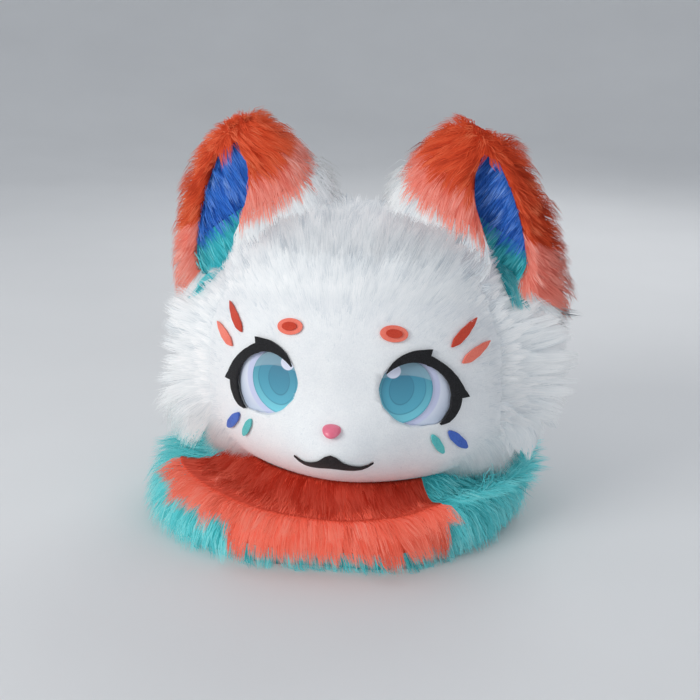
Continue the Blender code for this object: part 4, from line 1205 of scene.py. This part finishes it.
def ear_rings(levels, depth, angles, side, sign):
    """Grid of points on the ear, a depth inside its outer surface."""
    table = straight_table(EAR_LEVELS, levels)
    zero = np.zeros(len(levels))
    medial = np.stack([table[:, 0], zero, table[:, 1]], -1)
    lateral = np.stack([table[:, 2], zero, table[:, 3]], -1)
    half_depth = table[:, 4]
    middle = (medial + lateral) / 2
    half = np.linalg.norm(lateral - medial, axis=1) / 2
    along = unit(lateral - medial)
    width = np.maximum(half - depth, 0.3 * half)
    thick = np.maximum(half_depth - depth, 0.25 * half_depth)
    turn = np.radians(angles)
    grid = middle[:, None] - along[:, None] * (width[:, None] * np.cos(turn))[..., None]
    grid[..., 1] -= thick[:, None] * np.sin(turn)
    closing = np.clip(1 - half / 20.0, 0, 1) * depth * 0.55     # the walls meet below the ear's tip
    grid[..., 2] += table[:, 5][:, None] * np.sin(turn) ** 2 - closing[:, None]
    share = np.maximum(0.0, grid[..., 2] - EAR_LEAN_FROM_Z) / EAR_LEAN_SPAN
    grid[..., 0] = sign * (grid[..., 0] + EAR_LEAN[side] * share)
    return grid


def ear_angles(levels, with_slit, side):
    """Angles round the ear from one edge of the slit to the other, and across the slit where asked."""
    table = straight_table(EAR_LEVELS, levels)
    shift = straight_table(SLIT_SHIFT[side], levels)
    slit_from, slit_to = table[:, 6:7] + shift[:, :1], table[:, 7:8] + shift[:, 1:]
    shares = np.linspace(0, 1, EAR_WALL_COLUMNS + 1)[None]
    angles = slit_to + (360.0 + slit_from - slit_to) * shares
    if with_slit:
        gap = np.arange(1, EAR_SLIT_COLUMNS)[None] / EAR_SLIT_COLUMNS
        angles = np.concatenate([angles, slit_from + 360.0 + (slit_to - slit_from) * gap], axis=1)
    return angles


def ear_heart(levels, sign):
    """Points on the middle line of the ear, one for each level."""
    table = straight_table(EAR_LEVELS, levels)
    x = sign * (table[:, 0] + table[:, 2]) / 2
    return np.stack([x, np.zeros(len(levels)), (table[:, 1] + table[:, 3]) / 2], -1)


def ear_nap(levels, angles, across, deep):
    """Streak coordinates round and up the ear; across and deep are the ear's halves that they run round."""
    turn = np.radians(angles)
    climb = np.broadcast_to(levels[:, None] * 1.3, turn.shape)
    return np.stack([np.cos(turn) * across, np.sin(turn) * deep, climb], -1)


def build_ear(side, sign):
    top = len(EAR_LEVELS) - 1
    levels = np.linspace(0, top, top * EAR_STEPS + 1)
    angles = ear_angles(levels, True, side)
    outer = soften(ear_rings(levels, EAR_SKIN_INSET, angles, side, sign), 2, True)
    inner = soften(ear_rings(levels, EAR_WALL, angles, side, sign), 2, True)
    for grid in (outer, inner):
        towards = unit(HEAD_MIDDLE - grid[0])
        grid[0] += towards * EAR_SUNK
        grid[1] += towards * EAR_SUNK * 0.5
    slit = np.zeros((len(levels) - 1, angles.shape[1]), bool)
    slit[:SLIT_TOP_LEVEL * EAR_STEPS, EAR_WALL_COLUMNS:] = True
    normals = grid_normals(outer, True, outer - ear_heart(levels, sign)[:, None])
    nap = ear_nap(levels, angles, 45.0, 25.0)
    row_number = np.arange(len(levels) - 1)[:, None]
    starts = from_table(EAR_DYES, angles[:-1] % 360.0)
    level_here = (row_number + 0.5) / EAR_STEPS
    dyes = (level_here > starts[..., 0]).astype(int) + (level_here > starts[..., 1])
    backings = [BACKING[band.dye] for band in EAR_BANDS]
    at_edges = 2.0 * np.cos(np.radians(angles[:-1])).clip(0, 1) ** 2
    dense = 1.0 + at_edges + 1.8 * (row_number > SLIT_TOP_LEVEL * EAR_STEPS)
    for number, band in enumerate(EAR_BANDS):
        in_band = (row_number >= band.first_level * EAR_STEPS) & (row_number < band.end_level * EAR_STEPS)
        skin = wall(f"{band.name}_form_{side}", outer, inner, in_band & ~slit, True, backings,
                    nap=nap, dyes=dyes)
        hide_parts(f"{band.name}_{side}")
        rng = np.random.default_rng(EAR_FUR_SEED + number + 10 * (sign > 0))
        grown = scatter(outer, normals, True, ((dyes == number) & ~slit) * dense, band.strands, rng)
        edges = [rim_roots(outer, inner, dyes, number, column, rng) for column in (0, EAR_WALL_COLUMNS)]
        roots, out, rows, columns = [np.concatenate(parts) for parts in zip(grown, *edges)]
        ear_hair(f"{band.name}_hair_{side}", band.dye, outer, roots, out, rows, columns, sign, rng)
    for number, lining in enumerate(EAR_LININGS):
        build_ear_lining(lining, side, sign, np.random.default_rng(LINING_SEED + number + 10 * (sign > 0)))


def rim_roots(outer, inner, dyes, number, column, rng):
    """Roots on the thick edge of the slit, at one of its two columns."""
    last = SLIT_TOP_LEVEL * EAR_STEPS + 1
    share = np.linspace(0, 1, RIM_STEPS + 1)[None, :, None]
    edge = outer[:last, column, None] * (1 - share) + inner[:last, column, None] * share
    middle = (outer[:last, 0] + outer[:last, EAR_WALL_COLUMNS])[:, None] / 2
    normals = grid_normals(edge, False, middle - edge)
    weight = np.repeat((dyes[:last - 1, column] == number)[:, None], RIM_STEPS, axis=1).astype(float)
    if not weight.any():
        return np.zeros((0, 3)), np.zeros((0, 3)), np.zeros(0), np.zeros(0)
    roots, out, rows, _ = scatter(edge, normals, False, weight, int(weight[:, 0].sum() * RIM_STRANDS), rng)
    return roots, unit(out + np.array((0.0, -1.6, 0.0))), rows, np.full(len(roots), float(column))


def ear_hair(name, dye, outer, roots, out, rows, columns, sign, rng):
    """Fur brushed down the ear and away from its slit, and fluffed out along its outer edge and tip."""
    column = columns.astype(int) % outer.shape[1]
    below = outer[np.maximum(rows.astype(int) - 1, 0), column]
    above = outer[np.minimum(rows.astype(int) + 2, len(outer) - 1), column]
    level = rows / EAR_STEPS
    rim = ramp(columns, 16.0, 7.0)
    sweep = (EAR_SWEEP + 0.35 * ramp(level, 3.0, 5.0)) * (1 - rim) - 0.6 * rim
    flow = unit(below - above) - sweep[:, None] * np.array((sign, 0.0, 0.0))
    lateral = (ramp(sign * roots[:, 0], 145.0, 175.0) * ramp(columns, 30.0, 20.0))[:, None]
    flow = flow * (1 - 0.75 * lateral) + EAR_FLUFF[sign] * lateral
    tip = ease((level - 5.0) / 1.2)
    flow = flow + 0.5 * tip[:, None] * rng.normal(size=flow.shape)
    lie = unit(flow - out * dot(flow, out))
    length = np.full(len(roots), 32.0 if dye == "white" else 25.0)
    length = length - 9.0 * rim * (level > 2) - 10.0 * tip
    outer_edge = hump(columns, 10.0, 5.0) * (level > 2)
    inner_edge = hump(columns, 44.5, 6.0)
    shoulder = tip * hump(columns, 8.0, 9.0) * (sign > 0)
    length = length + 7.0 * shoulder
    lift = 13.0 + 16.0 * lateral[:, 0] + (14.0 + 10.0 * tip) * outer_edge + 24.0 * tip + 13.0 * inner_edge
    lift = lift + 24.0 * shoulder
    # the tint is painted light: the right ear's fur is made lighter
    strands(name, roots, out, lie, length, lift, EAR_STYLE, dye, rng, tint=0.15 * (sign < 0),
            shade=unit(out + tip[:, None] * np.array((0.0, -0.9, 0.5))))


def build_ear_lining(lining, side, sign, rng):
    """Soft lining inside the ear, with pile that stands out towards the slit."""
    levels = np.linspace(lining.first_level, lining.end_level, LINING_ROWS)
    angles = ear_angles(levels, False, side)
    start = EAR_WALL + EAR_LINING_GAP
    near = ear_rings(levels, start, angles, side, sign)
    far = ear_rings(levels, start + EAR_LINING_THICK, angles, side, sign)
    behind = ease(0.5 - 1.2 * np.sin(np.radians(angles)))
    far[..., 1] = far[..., 1] * (1 - behind) + np.minimum(far[..., 1], EAR_CUP_Y) * behind
    kept = np.ones((LINING_ROWS - 1, angles.shape[1] - 1), bool)
    skin = wall(f"{lining.name}_form_{side}", near, far, kept, False, [BACKING[lining.dye]],
                nap=ear_nap(levels, angles, 35.0, 20.0))
    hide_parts(f"{lining.name}_{side}")
    before = ear_heart(levels, sign)[:, None] + np.array((0.0, -60.0, 0.0))
    normals = grid_normals(far, False, before - far)
    roots, out, rows, _ = scatter(far, normals, False, kept.astype(float), lining.strands, rng)
    low = ease(1.2 - (levels[0] + rows / (LINING_ROWS - 1) * (levels[-1] - levels[0])))
    flow = np.array((-0.75 * sign, -0.25, -1.0)) + low[:, None] * np.array((0.9 * sign, -0.5, 0.0))
    lie = unit(flow - out * dot(flow, out))
    length = 20.0 + 14.0 * low
    lift = 13.0 + 20.0 * low
    strands(f"{lining.name}_hair_{side}", roots, out, lie, length, lift, LINING_STYLE, lining.dye, rng)


# Face

def eye_depth(x):
    """How deep the eye's plate lies: deepest beside the nose, nearly up at the face at its outer side."""
    return EYE_DEEP - EYE_OUTER_RISE * ease((np.abs(x) - EYE_MIDDLE[0] + 10.0) / 32.0)


def lay_patch(name, places, under, thick, material, slot, edge):
    """A thin piece with rounded edges that lies over the face.

    A grid is added, its points are laid on the face, then it gets its thickness and its edges are rounded.
    """
    rows, columns = places.shape[:2]
    bpy.ops.object.select_all(action="DESELECT")
    bpy.ops.mesh.primitive_grid_add(x_subdivisions=columns - 1, y_subdivisions=rows - 1, size=1.0)
    piece = bpy.context.object
    piece.name = name
    piece.data.name = name
    x = places[..., 0].ravel()
    z = places[..., 1].ravel()
    points = np.stack([x, face_y(x, z), z], -1)
    points += face_normals(x, z) * np.broadcast_to(under, places.shape[:2]).reshape(-1, 1)
    piece.data.vertices.foreach_set("co", ((points + CENTRE_SHIFT) * MM).astype(np.float32).ravel())
    layer = piece.data.uv_layers.active
    layer.name = "Print"
    corners = np.zeros(len(piece.data.loops), np.int32)
    piece.data.loops.foreach_get("vertex_index", corners)
    print_place = np.stack([np.abs(x), z], -1)[corners]
    layer.data.foreach_set("uv", print_place.astype(np.float32).ravel())
    piece.data.materials.append(material)
    piece.data.update()
    work = bmesh.new()
    work.from_mesh(piece.data)
    bmesh.ops.remove_doubles(work, verts=work.verts, dist=WELD_AT)
    work.normal_update()
    towards = sum((face.normal * face.calc_area() for face in work.faces), Vector()).y
    if towards > 0:
        bmesh.ops.reverse_faces(work, faces=work.faces)
    work.to_mesh(piece.data)
    work.free()
    thicken = piece.modifiers.new("thickness", "SOLIDIFY")
    thicken.thickness = thick * MM
    thicken.offset = 1.0
    bpy.ops.object.modifier_apply(modifier=thicken.name)
    if edge:
        rounding = piece.modifiers.new("rounded_edge", "BEVEL")
        rounding.width = edge * MM
        rounding.segments = 2
        rounding.limit_method = "ANGLE"
        rounding.angle_limit = math.radians(50)
        bpy.ops.object.modifier_apply(modifier=rounding.name)
    piece.data.polygons.foreach_set("use_smooth", np.ones(len(piece.data.polygons), bool))
    piece.select_set(False)
    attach(piece, "root")
    return piece


def disc_places(middle, reach_at, size=25):
    """Places of a grid squeezed into a round outline; reach_at gives the outline's radius at an angle."""
    u, v = np.meshgrid(np.linspace(-1, 1, size), np.linspace(-1, 1, size))
    x = u * np.sqrt(1 - v * v / 2)
    z = v * np.sqrt(1 - u * u / 2)
    share = np.hypot(x, z)
    angle = np.degrees(np.arctan2(z, x))
    reach = reach_at(angle) * share
    turn = np.radians(angle)
    return np.stack([middle[0] + reach * np.cos(turn), middle[1] + reach * np.sin(turn)], -1)


def mirrored(places, sign):
    return places * np.array((sign, 1.0))


def plate_reach(angle):
    """Distance from the eye's middle to the plate's rim."""
    return eye_radius(angle) - PIECE_GAP


def iris_reach(angle):
    """Distance from the eye's middle to the iris's rim, which the eye's opening cuts off."""
    turn = np.radians(angle)
    direction = np.stack([np.cos(turn) / IRIS.half[0], np.sin(turn) / IRIS.half[1]])
    start = [(eye - iris) / half for eye, iris, half in zip(EYE_MIDDLE, IRIS.middle, IRIS.half)]
    a = direction[0] ** 2 + direction[1] ** 2
    b = direction[0] * start[0] + direction[1] * start[1]
    c = start[0] ** 2 + start[1] ** 2 - 1
    return np.minimum((-b + np.sqrt(b * b - a * c)) / a, eye_radius(angle) - IRIS_EDGE_GAP)


def lash_places():
    table = straight_table(LASH, np.linspace(0, len(LASH) - 1, (len(LASH) - 1) * LASH_STEPS + 1))
    across = np.linspace(0, 1, LASH_STEPS + 1)[None]
    reach = table[:, 1:2] * (1 - across) + table[:, 2:3] * across
    turn = np.radians(table[:, 0:1])
    return np.stack([EYE_MIDDLE[0] + reach * np.cos(turn), EYE_MIDDLE[1] + reach * np.sin(turn)], -1)


def build_eyes():
    white = eye_white_print()
    printed = iris_print()
    felt = black_felt("pressed_felt_black", "#131315", "#3a3a3e")
    plate = disc_places(EYE_MIDDLE, plate_reach)
    iris = disc_places(EYE_MIDDLE, iris_reach)
    plate_depth = -eye_depth(plate[..., 0]) - PLATE_THICK
    iris_depth = PIECE_GAP - eye_depth(iris[..., 0])
    layers = (
        ("eye_white", "eye_plate", plate, plate_depth, PLATE_THICK, white, "eye_white", 0.0),
        ("iris_disc", "iris", iris, iris_depth, IRIS_THICK, printed, "iris_print", 0.25),
        ("lash_felt", "lash", lash_places(), FACE_LIFT, LASH_THICK, felt, "black_felt", 0.4),
    )
    for side, sign in SIDES:
        for name, node, places, under, thick, material, slot, edge in layers:
            piece = lay_patch(f"{name}_{side}", mirrored(places, sign), under, thick, material, slot, edge)
            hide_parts(f"{node}_{side}")


def stroke_places(stroke):
    """Places of a grid along a stroke, whose width follows its table and rounds off at both ends."""
    start = np.array((stroke.from_x, stroke.from_z), float)
    end = np.array((stroke.to_x, stroke.to_z), float)
    run = end - start
    side = np.array((-run[1], run[0])) / np.linalg.norm(run)
    shares = np.linspace(0, 1, 25)
    rows = [(number / (len(stroke.widths) - 1), width) for number, width in enumerate(stroke.widths)]
    widths = from_table(rows, shares)[:, 0]
    tip = np.sqrt(np.clip(1 - (2 * shares - 1) ** 8, 0, 1)) * 0.75 + 0.25
    across = np.linspace(-0.5, 0.5, 9)
    middle = start + run * shares[:, None]
    return middle[:, None] + side * (widths * tip)[:, None, None] * across[None, :, None]


def brow_places(half):
    """Places of a grid in a tilted oval at the brow."""
    places = disc_places((0.0, 0.0), np.ones_like, 17) * np.array(half)
    turn = math.radians(-BROW_TILT)
    return np.stack([
        BROW_MIDDLE[0] + places[..., 0] * math.cos(turn) - places[..., 1] * math.sin(turn),
        BROW_MIDDLE[1] + places[..., 0] * math.sin(turn) + places[..., 1] * math.cos(turn),
    ], -1)


def build_marks():
    marks = [
        (stroke.name, stroke.dye, stroke_places(stroke), FACE_LIFT, STROKE_THICK, 0.5) for stroke in STROKES
    ]
    spot_lift = FACE_LIFT + BROW_THICK + PIECE_GAP
    marks += [
        ("brow", "coral", brow_places(BROW_HALF), FACE_LIFT, BROW_THICK, 0.4),
        ("brow_spot", "red", brow_places(BROW_SPOT_HALF), spot_lift, BROW_SPOT_THICK, 0.4),
    ]
    for side, sign in SIDES:
        for name, dye, places, under, thick, edge in marks:
            piece = lay_patch(f"{name}_patch_{side}", mirrored(places, sign), under, thick, PATCH[dye],
                              f"{dye}_pile", edge)
            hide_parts(f"{name}_{side}")


def build_mouth():
    x = np.linspace(MOUTH[0].x, MOUTH[-1].x, 57)
    low, high = mouth_edges(x)
    share = np.linspace(0, 1, 7)[None]
    z = low[:, None] * (1 - share) + high[:, None] * share
    places = np.stack([np.broadcast_to(x[:, None], z.shape), z], -1)
    felt = black_felt("pressed_felt_brown_black", "#1d1718", "#453a3c")
    mouth = lay_patch("mouth_felt", places, FACE_LIFT, MOUTH_THICK, felt, "black_felt", 0.3)
    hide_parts("mouth")


def build_nose():
    """A ball is added, squashed to a rounded triangle, set on the face and given one subdivision."""
    bpy.ops.object.select_all(action="DESELECT")
    bpy.ops.mesh.primitive_uv_sphere_add(segments=24, ring_count=14, radius=1.0)
    nose = bpy.context.object
    nose.name = "nose_cast"
    nose.data.name = "nose_cast"
    for vertex in nose.data.vertices:
        u, v, w = vertex.co.x, vertex.co.z, -vertex.co.y
        x = NOSE_MIDDLE[0] + NOSE_HALF[0] * u * (1.0 + 0.2 * v)
        z = NOSE_MIDDLE[1] + NOSE_HALF[1] * v
        out = FACE_LIFT + NOSE_OUT * (max(w, 0.0) ** 0.8 if w > 0 else 0.12 * w)
        y = float(face_y(np.array(x), np.array(z))) - out
        vertex.co = Vector((x + CENTRE_SHIFT[0], y + CENTRE_SHIFT[1], z)) * MM
    rounder = nose.modifiers.new("rounder", "SUBSURF")
    rounder.levels = 1
    rounder.render_levels = 1
    bpy.ops.object.modifier_apply(modifier=rounder.name)
    nose.data.polygons.foreach_set("use_smooth", np.ones(len(nose.data.polygons), bool))
    nose.data.materials.append(cast_resin())
    nose.select_set(False)
    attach(nose, "root")
    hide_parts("nose")


# Ruff

def ellipse_radius(halves, azimuth):
    turn = np.radians(azimuth)
    return 1 / np.hypot(np.sin(turn) / halves[0], np.cos(turn) / halves[1])


def ruff_profiles(azimuth):
    """Outer and inner outlines of the ruff from the head's rim to the hem: radius and height for each row."""
    foot, crest, top = np.moveaxis(from_table(RUFF, azimuth), -1, 0)
    land_in = ellipse_radius(LAND_INNER, azimuth)
    land_out = ellipse_radius(LAND_OUTER, azimuth)
    valley = land_out + (crest - land_out) * 0.45
    valley_z = 38.0 + top * 0.25
    shoulder = crest + 0.55 * (foot - crest) + 7.0
    flat = np.full_like(foot, LAND_Z)
    ground = np.zeros_like(foot)
    outer = [
        (land_in, flat), (land_out, flat), (valley, valley_z), (crest - 7.0, top - 4.0), (crest + 3.0, top),
        (shoulder, top * 0.72), (foot + 6.0, top * 0.36), (foot, ground),
    ]
    inner = [
        (land_in, flat - RUFF_WALL), (land_out, flat - RUFF_WALL - 2.0), (valley + 5.0, valley_z - RUFF_WALL),
        (crest - 6.0, top - 16.0), (crest - 2.0, top - 15.0), (shoulder - RUFF_WALL, top * 0.72 - 3.0),
        (foot + 6.0 - RUFF_WALL, top * 0.36), (foot - RUFF_WALL, ground),
    ]
    return np.array(outer), np.array(inner)


def ruff_grid(profile, azimuths):
    """Rows of points, a few to each part of the profile."""
    rows = profile.shape[0]
    position = np.linspace(0, rows - 1, (rows - 1) * RUFF_STEPS + 1)
    table = straight_table(profile.reshape(rows, -1), position).reshape(len(position), 2, -1)
    turn = np.radians(azimuths)[None]
    return np.stack([table[:, 0] * np.sin(turn), -table[:, 0] * np.cos(turn), table[:, 1]], -1)


def bib_end(azimuth):
    """Profile row where the bib ends; it is 0 where there is no bib."""
    end = np.zeros_like(azimuth)
    for column in BIB:
        end = np.where(azimuth >= column.azimuth, float(column.end_row), end)
    return end


def build_ruff():
    azimuths = np.linspace(-180, 180, RUFF_COLUMNS, endpoint=False)
    outline, lining = ruff_profiles(azimuths)
    outer = soften(ruff_grid(outline, azimuths), 3, True)
    inner = soften(ruff_grid(lining, azimuths), 3, True)
    normals = grid_normals(outer, True, outer - inner)
    depth = RUFF_SKIN_INSET + 5.0 * ramp(azimuths, 25.0, 55.0) * ramp(azimuths, 150.0, 120.0)
    depth = depth + 4.0 * ramp(np.abs(azimuths), 110.0, 150.0)
    depth = depth * ramp(np.arange(len(outer)), RUFF_STEPS, RUFF_STEPS + 3.0)[:, None]
    outer = outer - normals * depth[..., None]
    outer[..., 2] = np.maximum(outer[..., 2], 0.0)
    position = np.arange(len(outer))[:, None] / RUFF_STEPS
    around, climb = np.broadcast_arrays(np.radians(azimuths)[None], position)
    nap = np.stack([np.sin(around) * 150.0, np.cos(around) * 150.0, climb * 1.2], -1)
    rows = position[:-1] + 0.5 / RUFF_STEPS
    turns = (azimuths + 180.0 / RUFF_COLUMNS)[None]
    bib = (rows >= BIB_FIRST_ROW) & (rows < bib_end(turns))
    bib_roots = bib & (turns < BIB_HAIR_END) & (rows < bib_end(turns) - 0.4)
    downhill = np.gradient(outer, axis=0)
    pieces = (
        ("ruff_teal", ~bib, ~bib & (rows > 0.9), "hem", 18000, 71),
        ("ruff_bib", bib, bib_roots, "bib", 13000, 72),
    )
    for node, kept, grown, dye, count, seed in pieces:
        skin = wall(f"{node}_form", outer, inner, kept, True, [BACKING[dye]], nap=nap)
        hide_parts(node)
        rng = np.random.default_rng(seed)
        dense = grown * (1.0 + 1.4 * hump(rows, 3.2, 0.6))
        roots, out, place, column = scatter(outer, normals, True, dense, count, rng)
        ruff_hair(f"{node}_hair", dye, roots, out, place / RUFF_STEPS, column, downhill, rng)


def ruff_hair(name, dye, roots, out, place, column, downhill, rng):
    """Fur that runs out of the valley, stands up on the crest and hangs to the hem; the valley is darker, as
    painted shade.
    """
    in_bib = dye == "bib"
    azimuth = np.radians(azimuth_of(roots))
    away = np.stack([np.sin(azimuth), -np.cos(azimuth), np.zeros_like(azimuth)], -1)
    crest = (ease((place - 2.0) / 0.6) * ease((4.0 - place) / 0.8))[:, None] * (1.0 if in_bib else 0.5)
    out = unit(out + crest * (0.7 * UP + 0.8 * away))
    slope = unit(downhill[(place * RUFF_STEPS).astype(int), column.astype(int) % RUFF_COLUMNS])
    # how far the valley's painted shade reaches, with a ragged edge
    ragged = 0.22 * np.sin(azimuth * 13.0) + 0.16 * np.sin(azimuth * 37.0 + 1.0)
    ragged = ragged + 0.2 * rng.normal(size=len(place))
    valley = 1 - ease((place - 1.7 + ragged) / 1.5)
    sweep = RUFF_SWEEP * (1 - ramp(np.degrees(azimuth), 22.0, 34.0) * in_bib)
    flow = slope + sweep[:, None] * np.cross(UP, away) - 0.25 * UP * ramp(place, 3.0, 4.5)[:, None]
    lie = unit(flow - out * dot(flow, out))
    length = 22.0 + 14.0 * ramp(place, 1.5, 3.0) - 10.0 * ramp(place, 5.0, 7.0)
    lift = 12.0 + 8.0 * ramp(place, 3.5, 5.0)
    shade = unit(out + 0.5 * crest * np.array((-0.3, -0.6, 0.6)))
    if in_bib:
        floor = BIB_HAIR_LOW + 16.0 * rng.random(len(roots)) ** 2
        # painted shade: in the valley the bib's fur goes deep red, and varies less
        tint = -1.1 * valley + 0.1
        contrast = 0.6 - 0.3 * valley
    else:
        length = length - 4.0
        lift = lift + 6.0
        floor = TEAL_HAIR_LOW
        tint = 0.1
        contrast = 0.85 - 0.3 * valley
    strands(name, roots, out, lie, length, lift, RUFF_STYLE, dye, rng, floor, tint, contrast, shade)


# Studio

def build_studio():
    """Pale paper that curves up in the distance, under soft lamps."""
    bpy.ops.object.select_all(action="DESELECT")
    bpy.ops.mesh.primitive_grid_add(x_subdivisions=64, y_subdivisions=64, size=FLOOR_SIZE)
    floor = bpy.context.object
    floor.name = "studio_floor"
    for vertex in floor.data.vertices:
        beyond = max(0.0, math.hypot(vertex.co.x, vertex.co.y) - FLOOR_FLAT_TO)
        vertex.co.z = FLOOR_CURVE * beyond ** 2
    floor.data.polygons.foreach_set("use_smooth", np.ones(len(floor.data.polygons), bool))
    floor.data.materials.append(studio_card())
    world = bpy.data.worlds.new("studio_world")
    world.use_nodes = True
    background = world.node_tree.nodes["Background"]
    background.inputs["Color"].default_value = AMBIENT_COLOUR
    background.inputs["Strength"].default_value = AMBIENT_STRENGTH
    bpy.context.scene.world = world
    for lamp in LAMPS:
        light = bpy.data.lights.new(lamp.name, "AREA")
        light.shape = "DISK"
        light.size = lamp.size
        light.energy = lamp.power
        light.color = lamp.colour
        holder = bpy.data.objects.new(lamp.name, light)
        holder.location = lamp.place
        holder.rotation_mode = "QUATERNION"
        holder.rotation_quaternion = (Vector(lamp.place) - LAMPS_AIM).to_track_quat("Z", "Y")
        bpy.context.scene.collection.objects.link(holder)
    bpy.context.scene.view_settings.view_transform = "Standard"


def build_camera():
    """A camera at the photo's angle, drawn back from the object."""
    lens = bpy.data.cameras.new("camera")
    camera = bpy.data.objects.new("camera", lens)
    bpy.context.scene.collection.objects.link(camera)
    around, above = math.radians(CAMERA_AROUND), math.radians(CAMERA_ABOVE)
    back = Vector((math.sin(around) * math.cos(above), -math.cos(around) * math.cos(above), math.sin(above)))
    roll = Quaternion((0, 0, 1), math.radians(CAMERA_ROLL))
    camera.location = CAMERA_AIM + back * CAMERA_AWAY
    camera.rotation_mode = "QUATERNION"
    camera.rotation_quaternion = back.to_track_quat("Z", "Y") @ roll
    lens.sensor_width = SENSOR_WIDTH
    lens.lens = FOCAL_LENGTH
    bpy.context.scene.camera = camera


build_camera()
build_studio()
head_grid = build_head()
build_face_fuzz(head_grid)
coat_grid = build_coat()
build_coat_fur(coat_grid)
build_tufts(coat_grid)
for ear_side, ear_sign in SIDES:
    build_ear(ear_side, ear_sign)
build_eyes()
build_marks()
build_mouth()
build_nose()
build_ruff()
